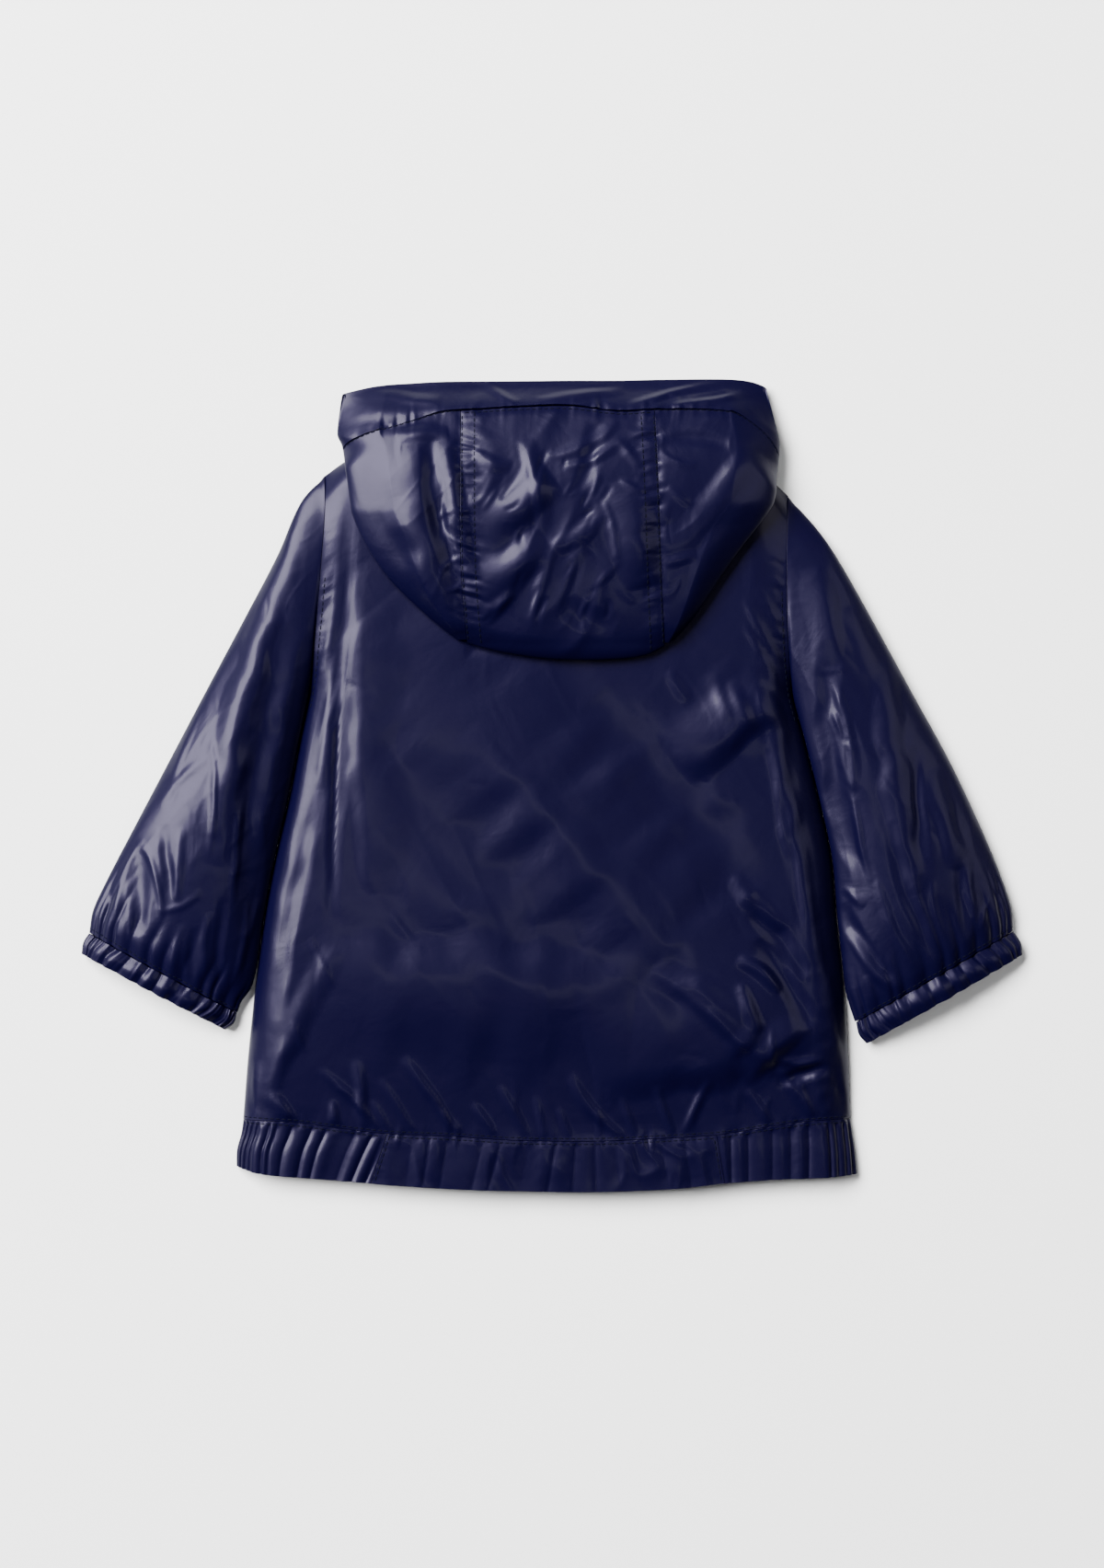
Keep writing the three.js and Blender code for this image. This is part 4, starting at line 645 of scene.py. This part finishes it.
def make_back():
    """The back, round both side edges and up to the shoulders and the neck."""
    edge_calm, seam_calm = 7, 4
    over_back, above_hem = ((-120, 140), (-185, 60)), ((-150, 155), (-186, -160))
    small = crinkles(34, over_back, way=-50, spread=30, sizes=((10, 30), 0.2), seed=1)
    small += crinkles(20, above_hem, way=-70, spread=22, sizes=((10, 22), 0.4), seed=2)

    def base(s, v):
        x, y = meet(lambda y0: across_body(s, y0), lambda x0: climb(hem_seam(x0), top_line(x0), v))
        return points(x, y, back_z(x, y))

    def relief(s, v, x, y):
        left, right = x - body_left(y), body_right(y) - x
        up = y - hem_seam(x)
        quiet = ramp(0, edge_calm, np.minimum(left, right)) * ramp(0, seam_calm, up)
        set_in = puckers(y, left - ARMHOLE_STITCHES, period=4.2, reach=2.6, seed=19)
        set_in += puckers(y, right - ARMHOLE_STITCHES, period=4.6, reach=2.4, seed=4)
        set_in *= 0.6 * ramp(48, 70, y) * (1 - ramp(140, 150, y))
        folds = crease_height(BACK_CREASES + small, x, y)
        folds += 0.5 * crumple(x, y, way=-48, size=34, seed=20)
        folds += 0.5 * drape(x, y, way=-52, size=42, seed=100)
        return (folds * quiet + hem_puckers(x, up) + set_in) * clear_of_hood(x, y)

    return sew("back_panel", Cloth(base, relief), zones(10, 200, 10), zones(225, 8), "back")


def make_fronts():
    """Two flat fronts, risen into the lap at the middle, and the hem bands below them."""
    for side, sign in SIGN.items():
        foot = sign * (LAP_HALF + LAP_RISE)
        lap_z = SNAP_HEIGHT + GAP + (0 if side == "left" else CLOTH + GAP)

        def base(s, v, outer, low, high):
            def x_at(y):
                flat_part = lerp(outer(y), foot, s)
                return np.where(s < 1, flat_part, lerp(foot, -sign * LAP_HALF, s - 1))

            x, y = meet(x_at, lambda x0: lerp(low(x0), high(x0), v))
            return points(x, y, lap_z * (1 - ramp(LAP_HALF, LAP_HALF + LAP_RISE, sign * x)))

        def hem_end(y):
            return HEM_JOINS[side]["bottom"] - sign * GAP + 0 * y

        def front(s, v):
            return base(s, v, EDGE_X[side], hem_seam, top_line)

        def hem_front(s, v):
            return base(s, v, hem_end, hem_edge, lambda x: hem_seam(x) - GAP)

        sew(f"front_{side}_panel", Cloth(front, outward=sign), zones(30, 12), zones(60),
            f"front_{side}")
        sew(f"hem_front_{side}_band", Cloth(hem_front, outward=sign), zones(30, 10), zones(4),
            f"hem_front_{side}", thick=BAND)


def hem_y(x, v):
    """y in the hem band, from its edge to its seam."""
    return lerp(hem_edge(x), hem_seam(x) - GAP, v)


def hem_join_x(side, v):
    """x of the slanted join of the hem's pieces."""
    return lerp(HEM_JOINS[side]["bottom"], HEM_JOINS[side]["top"], v)


def make_hem_back():
    """The hem's low gathered piece under the back."""

    def base(s, v):
        x = lerp(hem_join_x("left", v) + GAP / 2, hem_join_x("right", v) - GAP / 2, s)
        y = hem_y(x, v)
        return points(x, y, back_z(x, y))

    def relief(s, v, x, y):
        leaning = s + 0.02 * (v - 0.5) * np.sin(9 * s + 1)
        quiet = ramp(0, 0.04, s) * ramp(0, 0.04, 1 - s)
        soft = 1.2 * (gathers(leaning, HEM_BACK_GATHERS, seed=2) - 0.5) * (0.6 + 0.4 * wobble(s, 0.12, 8))
        soft += 1.1 * drape(x, y, way=-64, size=9, seed=130)
        side_row = 0.4 * puckers(HEM_WIDE * v, s * HEM_BACK_LONG, period=3.6, reach=4, seed=3)
        return soft * quiet * ramp(0, 0.12, 1 - v) + hem_puckers(x, -HEM_WIDE * (1 - v)) + side_row

    return sew("hem_back_band", Cloth(base, relief), zones(250), zones(26), "hem_back",
               BAND, TURNED_IN)


def make_hem_side(side):
    """
    A gathered side piece of the hem: 0 to 1 on the floor, 1 to 2 round the corner, 2 to 3 up the
    side, 3 to 4 over the back.
    """
    sign, edge_x = SIGN[side], EDGE_X[side]

    def base(s, v):
        turn = (s % 1) * np.pi / 2

        def x_at(y):
            edge = edge_x(y)
            under = lerp(HEM_JOINS[side]["bottom"], edge - sign * SEAM_Z, s)
            corner = edge - sign * SEAM_Z * (1 - np.sin(turn))
            up = edge - sign * SIDE_ROUND * (1 - np.cos(turn))
            over = lerp(edge - sign * SIDE_ROUND, hem_join_x(side, v) + sign * GAP / 2, s - 3)
            return np.select([s < 1, s < 2, s < 3], [under, corner, up], over)

        x, y = meet(x_at, lambda x0: hem_y(x0, v))
        z = np.select([s < 1, s < 2], [0 * x, SEAM_Z * (1 - np.cos(turn))], back_z(x, y))
        return points(x, y, z)

    def relief(s, v, x, y):
        leaning = (s - 2) / 2 + sign * 0.035 * (v - 0.5)
        quiet = ramp(2, 2.4, s) * ramp(0, 0.06, 4 - s)
        deep = 2 * (gathers(leaning, HEM_SIDE_GATHERS[side], seed=6) - 0.5)
        deep *= 0.8 + 0.3 * wobble(s, 0.2, 16)
        row = hem_puckers(x, -HEM_WIDE * (1 - v))
        return deep * quiet * ramp(0, 0.12, 1 - v) + row * ramp(1.6, 2.4, s)

    cloth = Cloth(base, relief, outward=-sign)
    return sew(f"hem_side_{side}_band", cloth, zones(20, 4, 46, 130), zones(26),
               f"hem_side_{side}", BAND, TURNED_IN)


def tube_reader(rows):
    """Reads a table of stations as one station at any t along a sleeve or cuff."""
    reads = curves(rows).values()
    return lambda t: [read(t) for read in reads]


def tube_point(station, s, edge_z, corner):
    """
    A point of a flattened tube: 0 to 1 on the floor from the inner to the outer edge, 1 to 2 up
    the outer edge, 2 to 3 over the top, 3 to 4 down the inner edge.
    """
    out_x, out_y, in_x, in_y, top = station
    rounding = corner / np.hypot(out_x - in_x, out_y - in_y)
    turn = (s % 1) * np.pi / 2
    zone = [s < 1, s < 2, s < 3]
    over = np.clip(np.sin(2 * turn), 0, 1) ** ARCH_POWER
    f = np.select(zone, [
        lerp(rounding, 1 - rounding, s),
        1 - rounding * (1 - np.sin(turn)),
        0.5 + 0.5 * np.cos(2 * turn),
    ], rounding * (1 - np.cos(turn)))
    z = np.select(zone, [
        0 * turn,
        edge_z * (1 - np.cos(turn)),
        lerp(edge_z, top, over),
    ], edge_z * (1 - np.sin(turn)))
    return points(lerp(in_x, out_x, f), lerp(in_y, out_y, f), z)


def cuff_gathers(side, s):
    """Gathers across the top of a cuff and of the sleeve's end, from -0.5 to 0.5."""
    return gathers(s - 2, CUFF_GATHERS[side], seed=4) - 0.5


def make_sleeve(side):
    """A sleeve: at its start it fits the armhole, then it lies close beside the body."""
    station = tube_reader(SLEEVES[side])
    sign, edge_x = SIGN[side], EDGE_X[side]
    box = ((-240, -150), (-110, 120)) if side == "left" else ((150, 240), (-110, 110))
    way = -sign * 65
    small = crinkles(26, box, way, spread=24, sizes=((12, 32), 0.3), seed=3 + sign)
    creases = SLEEVE_CREASES[side] + small

    def tube(s, t):
        settled = ramp(0, 0.15, t)
        edge_z = lerp(SEAM_Z, SLEEVE_EDGE_Z, settled)
        return tube_point(station(t), s, edge_z, lerp(SEAM_Z, SLEEVE_CORNER, settled))

    def base(s, t):
        p = tube(s, t)
        start = tube(s, 0 * t)
        p[..., 0] += (edge_x(start[..., 1]) + sign * GAP - start[..., 0]) * (1 - ramp(0, 0.2, t))
        below_armhole = ramp(0, 0.03, t)
        clear = sign * (p[..., 0] - edge_x(p[..., 1]))
        near = SLEEVE_DRAWN * below_armhole * (1 - ramp(1.5, 7, clear))
        p[..., 0] += sign * (np.maximum(lerp(GAP, SLEEVE_CLEAR, below_armhole), clear - near) - clear)
        return p

    def relief(s, t, x, y):
        quiet = ramp(2, 2.2, s) * ramp(0, 0.2, 3 - s)
        folds = 0.75 * crease_height(creases, x, y) + 0.4 * crumple(x, y, way, size=24, seed=30 + sign)
        folds += 0.6 * drape(x, y, way, size=17, seed=110 + 10 * sign)
        drawn_in = 2 * cuff_gathers(side, s) * ramp(0.84, 1, t)
        return (folds * ramp(0, 0.06, t) * (1 - 0.5 * ramp(0.95, 1, t)) + drawn_in) * quiet

    cloth = Cloth(base, relief, ring=4, outward=sign)
    return sew(f"sleeve_{side}_panel", cloth, zones(24, 8, 130, 8), zones(200),
               f"sleeve_{side}")


def make_cuff(side):
    """A gathered cuff, flat underneath where it rests."""
    station = tube_reader(CUFFS[side])

    def base(s, t):
        return tube_point(station(t), s, SLEEVE_EDGE_Z, SLEEVE_CORNER)

    def relief(s, t, x, y):
        leaning = s + 0.03 * (t - 0.5) * (1 + wobble(s, 0.07, 12))
        quiet = ramp(2, 2.12, s) * ramp(0, 0.12, 3 - s)
        deep = 2.6 * cuff_gathers(side, leaning) * (0.8 + 0.3 * wobble(s, 0.1, 15))
        off_edges = CUFF_WIDE / 2 * (1 - np.abs(2 * t - 1))
        fine = 0.9 * puckers(CUFF_ROUND * (leaning - 2), off_edges, period=4.4, reach=9, seed=13)
        return (deep + fine) * quiet

    cloth = Cloth(base, relief, ring=4, outward=SIGN[side])
    sew(f"cuff_{side}_band", cloth, zones(30, 6, 180, 6), zones(16), f"cuff_{side}",
        BAND, TURNED_IN)


def rest_z(x, y):
    """Height of what the hood lies on: the back, and past the shoulders the floor."""
    past = y - top_line(x)
    off = ramp(NECK_HALF, NECK_HALF + NECK_BLEND, np.abs(x))
    low = lerp(back_z(x, y - np.maximum(0, past)), open_back_z(x, y), off) + LAY
    share = lerp(off, 1, ramp(0, SHOULDER_DROP[1], past))
    return low * (1 - share * ramp(*SHOULDER_DROP, past))


def hood_heights(x, y):
    """Heights of the hood's lower and upper layer and of the folded edge between them."""
    left, right = hood_left(y), hood_right(y)
    across = (x - (left + right) / 2) / ((right - left) / 2)
    low = rest_z(x, y)
    top = np.maximum(hood_top(y) * (1 - HOOD_FALL * across**2), low + HOOD_LEAST)
    fold_x = np.clip(x, hood_seam["left"](y), hood_seam["right"](y))
    opened = quarter((y - hood_fold_y(fold_x)) / HOOD_FOLD_ROUND)
    edge = lerp(low, top, HOOD_MID)
    return lerp(edge, low, opened), lerp(edge, top, opened), edge


def hood_side_point(side, s, y_at, seam_gap):
    """
    A point of one side of the hood: 0 to 1 over the upper layer from the seam to the folded edge,
    1 to 3 round the fold, 3 to 4 under it and back to the seam.
    """
    sign = SIGN[side]
    edge_x = hood_left if side == "left" else hood_right
    turn = (s % 1) * np.pi / 2
    zone = [s < 1, s < 2, s < 3]

    def x_at(y):
        edge = edge_x(y)
        seam = hood_seam[side](y) + sign * seam_gap
        over = np.minimum(HOOD_ROUND, TIP_ROUND * np.abs(edge - seam))
        under = np.minimum(HOOD_UNDER_ROUND, TIP_UNDER_ROUND * np.abs(edge - seam))
        return np.select(zone, [
            lerp(seam, edge - sign * over, s),
            edge - sign * over * (1 - np.sin(turn) ** HOOD_EDGE_POWER),
            edge - sign * under * (1 - np.cos(turn)),
        ], lerp(edge - sign * under, seam, s - 3))

    x, y = meet(x_at, y_at)
    low, top, edge = hood_heights(x, y)
    z = np.select(zone, [
        top,
        lerp(edge, top, np.cos(turn) ** HOOD_EDGE_POWER),
        lerp(edge, low, np.sin(turn)),
    ], low)
    return points(x, y, z)


def band_line(s, x):
    """Line between the hood's side panel and its edge band: the stitching above, the neck below."""
    return lerp(hood_stitch(x), top_line(x), ramp(1, 3, s))


def hood_relief(x, y, small):
    """Creases of the hood, and the puckers along its seams and its edge band."""
    to_left, to_right = x - hood_seam["left"](y), x - hood_seam["right"](y)
    strong = 0.35 + 0.65 * ramp(84, 100, y) * (1 - ramp(176, 196, y))
    off_left = np.maximum(-to_left, np.maximum(0, to_left - HOOD_SEAM_ALLOWANCE))
    off_right = np.maximum(to_right, np.maximum(0, -to_right - HOOD_SEAM_ALLOWANCE))
    left = puckers(y + 0.3 * to_left, off_left, period=5, reach=5, seed=11)
    left += 0.6 * puckers(y, off_left, period=3, reach=2.4, seed=22)
    right = puckers(y - 0.3 * to_right, off_right, period=6, reach=4, seed=3)
    right += 0.5 * puckers(y, off_right, period=3.4, reach=2.4, seed=16)
    below = hood_stitch(x) - y
    rows = 0.9 * strong * left + (0.45 + 0.4 * ramp(120, 150, y)) * right
    rows += 0.5 * puckers(x, below, period=4.8, reach=5, seed=8)
    seams = -0.3 * sum(np.exp(-((to_seam / SEAM_DIP) ** 2)) for to_seam in (to_left, to_right))
    middle = ramp(-6, 2, to_left) * ramp(-6, 2, -to_right)
    left_panel = 0.6 * drape(x, y, way=104, size=16, seed=70)
    right_panel = 1.2 * drape(x, y, way=52, size=20, seed=80)
    folds = crease_height(HOOD_CREASES + small, x, y) + 0.5 * crumple(x, y, way=62, size=24, seed=40)
    folds += 1.1 * middle * drape(x, y, way=58, size=19, seed=60)
    folds += (1 - middle) * np.where(x < 0, left_panel, right_panel)
    return folds * ramp(0, 5, below) + rows + seams


def make_hood_side(side, small):
    """A side panel of the hood, from its seam over and round the folded edge to the lower layer."""

    def base(s, v):
        return hood_side_point(side, s, lambda x: climb(HOOD_TIP[side], band_line(s, x), v), GAP / 2)

    def relief(s, v, x, y):
        quiet = (1 - ramp(0.85, 1.8, s)) * ramp(0, 4, y - HOOD_TIP[side])
        return hood_relief(x, y, small) * quiet

    cloth = Cloth(base, relief, outward=SIGN[side])
    return sew(f"hood_side_{side}_panel", cloth, zones(64, 12, 8, 20), zones(110, 10),
               f"hood_side_{side}")


def make_hood_middle(small):
    """The middle panel: 0 to 2 its lower layer from the neck, 2 to 4 round the fold, 4 to 5 the top."""

    def base(s, v):
        turn = (v % 1) * np.pi / 2

        def x_at(y):
            return lerp(hood_seam["left"](y) + GAP / 2, hood_seam["right"](y) - GAP / 2, s)

        def y_at(x):
            fold = hood_fold_y(x)
            return np.select([v < 2, v < 3, v < 4], [
                climb(fold + HOOD_FOLD_ROUND, top_line(x), 2 - v),
                fold + HOOD_FOLD_ROUND * (1 - np.sin(turn)),
                fold + HOOD_FOLD_ROUND * (1 - np.cos(turn)),
            ], lerp(fold + HOOD_FOLD_ROUND, hood_stitch(x), v - 4))

        x, y = meet(x_at, y_at)
        low, top, _ = hood_heights(x, y)
        return points(x, y, np.where(v < 3, low, top))

    def relief(s, v, x, y):
        return hood_relief(x, y, small) * ramp(3.2, 4, v)

    return sew("hood_middle_panel", Cloth(base, relief), zones(96), zones(6, 20, 6, 10, 120),
               "hood_middle")


def make_hood_band():
    """
    The band round the face opening, from the chin to the chin. Its left half has five zones: on the
    floor to the neck's end, under the hood, round the fold in two, and over the hood's side.
    """
    under_columns = 6
    neck_end = 3 + (under_columns - 1) / under_columns

    def under_z(x, y):
        return rest_z(x, y) * ramp(NECK_HALF - 2, NECK_HALF + 4, np.abs(x))

    def side_point(side, zone, v):
        gap = np.where((zone > 1) & (zone < 3), FOLD_GAP, GAP)

        def y_at(x):
            return lerp(band_line(zone, x) + gap, hood_top_edge(x) - FACE_EDGE_STEP * ramp(1, 3, zone), v)

        p = hood_side_point(side, zone, y_at, 0)
        p[..., 2] = np.where(zone > 3, under_z(p[..., 0], p[..., 1]), p[..., 2])
        return p

    def chin_point(side, share, v):
        reach = side_point(side, neck_end + 0 * share, v)[..., 0]
        x = lerp(SIGN[side] * GAP / 2, reach, share)
        y = lerp(top_line(x) + GAP, hood_top_edge(x) - FACE_EDGE_STEP, v)
        return points(x, y, under_z(x, y))

    def base(s, v):
        x = lerp(hood_seam["left"](BAND_SEAM_Y), hood_seam["right"](BAND_SEAM_Y), s - 5)
        y = lerp(hood_stitch(x) + GAP, hood_top_edge(x), v)
        p = points(x, y, hood_heights(x, y)[1])
        for side in SIGN:
            from_chin = s if side == "left" else 11 - s
            chin = chin_point(side, np.clip(from_chin, 0, 1), v)
            turned = side_point(side, lerp(neck_end, 3, np.clip(from_chin - 1, 0, 1)), v)
            rest = side_point(side, 5 - np.clip(from_chin, 2, 5), v)
            zone = [(from_chin < last)[..., None] for last in (1, 2, 5)]
            p = np.select(zone, [chin, turned, rest], p)
        return p

    def relief(s, v, x, y):
        above = y - hood_stitch(x)
        strong = 0.35 + 0.65 * (ramp(-70, -85, x) + ramp(14, 20, x) * (1 - ramp(30, 38, x)))
        strong += 0.4 * ramp(58, 64, x) * (1 - ramp(88, 98, x))
        rows = 1.2 * strong * puckers(x, above, period=4.8, reach=6, seed=8)
        upper = ramp(2.6, 4, s) * ramp(2.6, 4, 11 - s)
        soft = crease_height(BAND_CREASES, x, y) + 0.5 * crumple(x, y, way=20, size=22, seed=50)
        fall = -BAND_SLOPE * np.maximum(above, 0)
        return (rows + fall + soft * ramp(0, 0.15, 1 - v)) * upper

    half = (12, 8, 8, 12, 56)
    sew("hood_band_strip", Cloth(base, relief), zones(*half, 90, *half[::-1]), zones(20),
        "hood_band", BAND, TURNED_IN)


def ring_faces(first, around, rings):
    """Faces between rings of points that follow each other from the first point on."""
    starts = [first + ring * around for ring in range(rings - 1)]
    pairs = [(low + k, low + (k + 1) % around) for low in starts for k in range(around)]
    return [(here, there, there + around, here + around) for here, there in pairs]


def stitch_row(name, cloth, s, v):
    """A row of stitches along a line of the cloth, each a small rounded bar of thread."""
    pitch, long, wide, high, lift, sides = 3.3, 2.3, 0.28, 0.24, 0.1, 6
    sections = ((0, 0.4), (0.2, 1), (0.8, 1), (1, 0.4))
    line, normal = cloth.at(s, v)
    line[..., 2] = np.maximum(line[..., 2], high + lift)
    run = np.append(0, np.cumsum(np.linalg.norm(np.diff(line, axis=0), axis=1)))

    def at(values, place):
        return np.array([np.interp(place, run, values[:, k]) for k in range(3)])

    vertices, faces = [], []
    for middle in np.arange(pitch, run[-1] - pitch / 2, pitch):
        a, b = at(line, middle - long / 2), at(line, middle + long / 2)
        out = unit(at(normal, middle))
        way = unit(b - a)
        flank = np.cross(out, way)
        first = len(vertices)
        for share, size in sections:
            centre = lerp(a, b, share) + out * lift
            for k in range(sides):
                turn = 2 * np.pi * k / sides
                vertices.append(centre + size * (flank * wide * np.cos(turn) + out * high * np.sin(turn)))
        faces += ring_faces(first, sides, len(sections))
        faces.append(tuple(range(first + sides - 1, first - 1, -1)))
        faces.append(tuple(range(first + 3 * sides, first + 4 * sides)))
    piece = add_mesh(name, vertices, faces, THREAD_MATERIAL)
    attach(piece, "root")


def make_stitches(pieces):
    """All lines of stitches, each placed by its s and v on a piece."""
    samples = np.linspace(0, 1, 900)

    def row(name, piece, s, v):
        stitch_row(f"stitches_{name}", pieces[piece], s + 0 * samples, v + 0 * samples)

    row("hem", "back", 3 * samples, 0.004)
    row("hem_back", "hem_back", samples, 0.95)
    for side, s in (("left", 0.008), ("right", 0.992)):
        row(f"hem_back_{side}", "hem_back", s, samples)
    for seam, s in (("left", 0.006), ("left_second", 0.07), ("right", 0.994), ("right_second", 0.93)):
        row(f"hood_seam_{seam}", "hood_middle", s, 3.2 + 1.79 * samples)
    row("hood_edge", "hood_middle", samples, 4.988)
    for side in SIGN:
        row(f"hood_edge_{side}", f"hood_{side}", 2 * samples, 1.9)
        row(f"cuff_{side}", f"sleeve_{side}", 4 * samples * 0.999, 0.992)
        row(f"hem_{side}", f"hem_{side}", 2.2 + 1.78 * samples, 0.95)
    for side, s in (("left", 0.34), ("right", 2.66)):
        row(f"armhole_{side}", "back", s, 0.66 + 0.22 * samples)


def make_studs():
    """Press studs of the hidden front, a flat domed cap each."""
    rings_of_cap = ((3.6, 0), (5.5, 0.12), (SNAP_RADIUS, 0.45), (SNAP_RADIUS, SNAP_HEIGHT))
    around = 48
    for i, y in enumerate(SNAP_YS):
        vertices = [(0, y, 0)]
        for radius, z in rings_of_cap:
            for k in range(around):
                turn = 2 * np.pi * k / around
                vertices.append((radius * np.cos(turn), y + radius * np.sin(turn), z))
        vertices.append((0, y, SNAP_HEIGHT))
        faces = ring_faces(1, around, len(rings_of_cap))
        top = len(vertices) - 1
        for k in range(around):
            after = (k + 1) % around
            faces.append((0, 1 + after, 1 + k))
            faces.append((top - around + k, top - around + after, top))
        stud = add_mesh(f"stud_{i + 1}", vertices, faces, STUD_MATERIAL)
        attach(stud, "root")
        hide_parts(f"snap_{i + 1}")


def make_coat():
    """All pieces of the coat, on the one body that it has."""
    small = sum((crinkles(*kind) for kind in HOOD_CRINKLES), [])
    pieces = {"back": make_back(), "hem_back": make_hem_back(), "hood_middle": make_hood_middle(small)}
    for side in SIGN:
        pieces[f"hem_{side}"] = make_hem_side(side)
        pieces[f"sleeve_{side}"] = make_sleeve(side)
        pieces[f"hood_{side}"] = make_hood_side(side, small)
        make_cuff(side)
    make_fronts()
    make_hood_band()
    make_studs()
    make_stitches(pieces)


def area_light(name, place, size, power, turn=0):
    """A soft light, in metres and watts, that faces the coat; turn rolls it by some degrees."""
    lamp = bpy.data.lights.new(name, "AREA")
    lamp.shape = "RECTANGLE"
    lamp.size, lamp.size_y = size
    lamp.energy = power
    light = bpy.data.objects.new(name, lamp)
    bpy.context.scene.collection.objects.link(light)
    light.location = place
    light.rotation_euler = (-Vector(place)).to_track_quat("-Z", "Y").to_euler()
    light.rotation_euler.rotate_axis("Z", np.radians(turn))
    return light


def make_studio():
    """Pale floor, a broad soft light from the upper left, a faint one above and a weak fill."""
    half = 4000
    corners = [(-half, -half, 0), (half, -half, 0), (half, half, 0), (-half, half, 0)]
    floor = add_mesh("floor", corners, [(0, 1, 2, 3)], plain("floor", FLOOR, roughness=0.9))
    floor.location.z = -0.0004
    key = area_light("key", place=(-2.45, 1.8, 2.85), size=(3.8, 2.2), power=1270)
    top = area_light("top", place=(0.12, -0.24, 3.3), size=(1.5, 0.25), power=8, turn=-50)
    fill = area_light("fill", place=(2.3, 0.9, 2.3), size=(1.6, 2.0), power=36)
    world = bpy.data.worlds.new("studio")
    bpy.context.scene.world = world
    world.use_nodes = True
    background = world.node_tree.nodes["Background"]
    background.inputs["Color"].default_value = (0.9, 0.93, 1, 1)
    background.inputs["Strength"].default_value = 0.02


def make_camera():
    """Straight down, with the photograph's frame of 852 mm along its long side."""
    frame_long, lens, sensor, focus_z = 0.852, 100, 36, 0.012
    camera = bpy.data.cameras.new("camera")
    camera.lens = lens
    camera.sensor_width = sensor
    viewer = bpy.data.objects.new("camera", camera)
    bpy.context.scene.collection.objects.link(viewer)
    viewer.location = (0, 0, focus_z + frame_long * lens / sensor)
    bpy.context.scene.camera = viewer


make_camera()
make_coat()
make_studio()
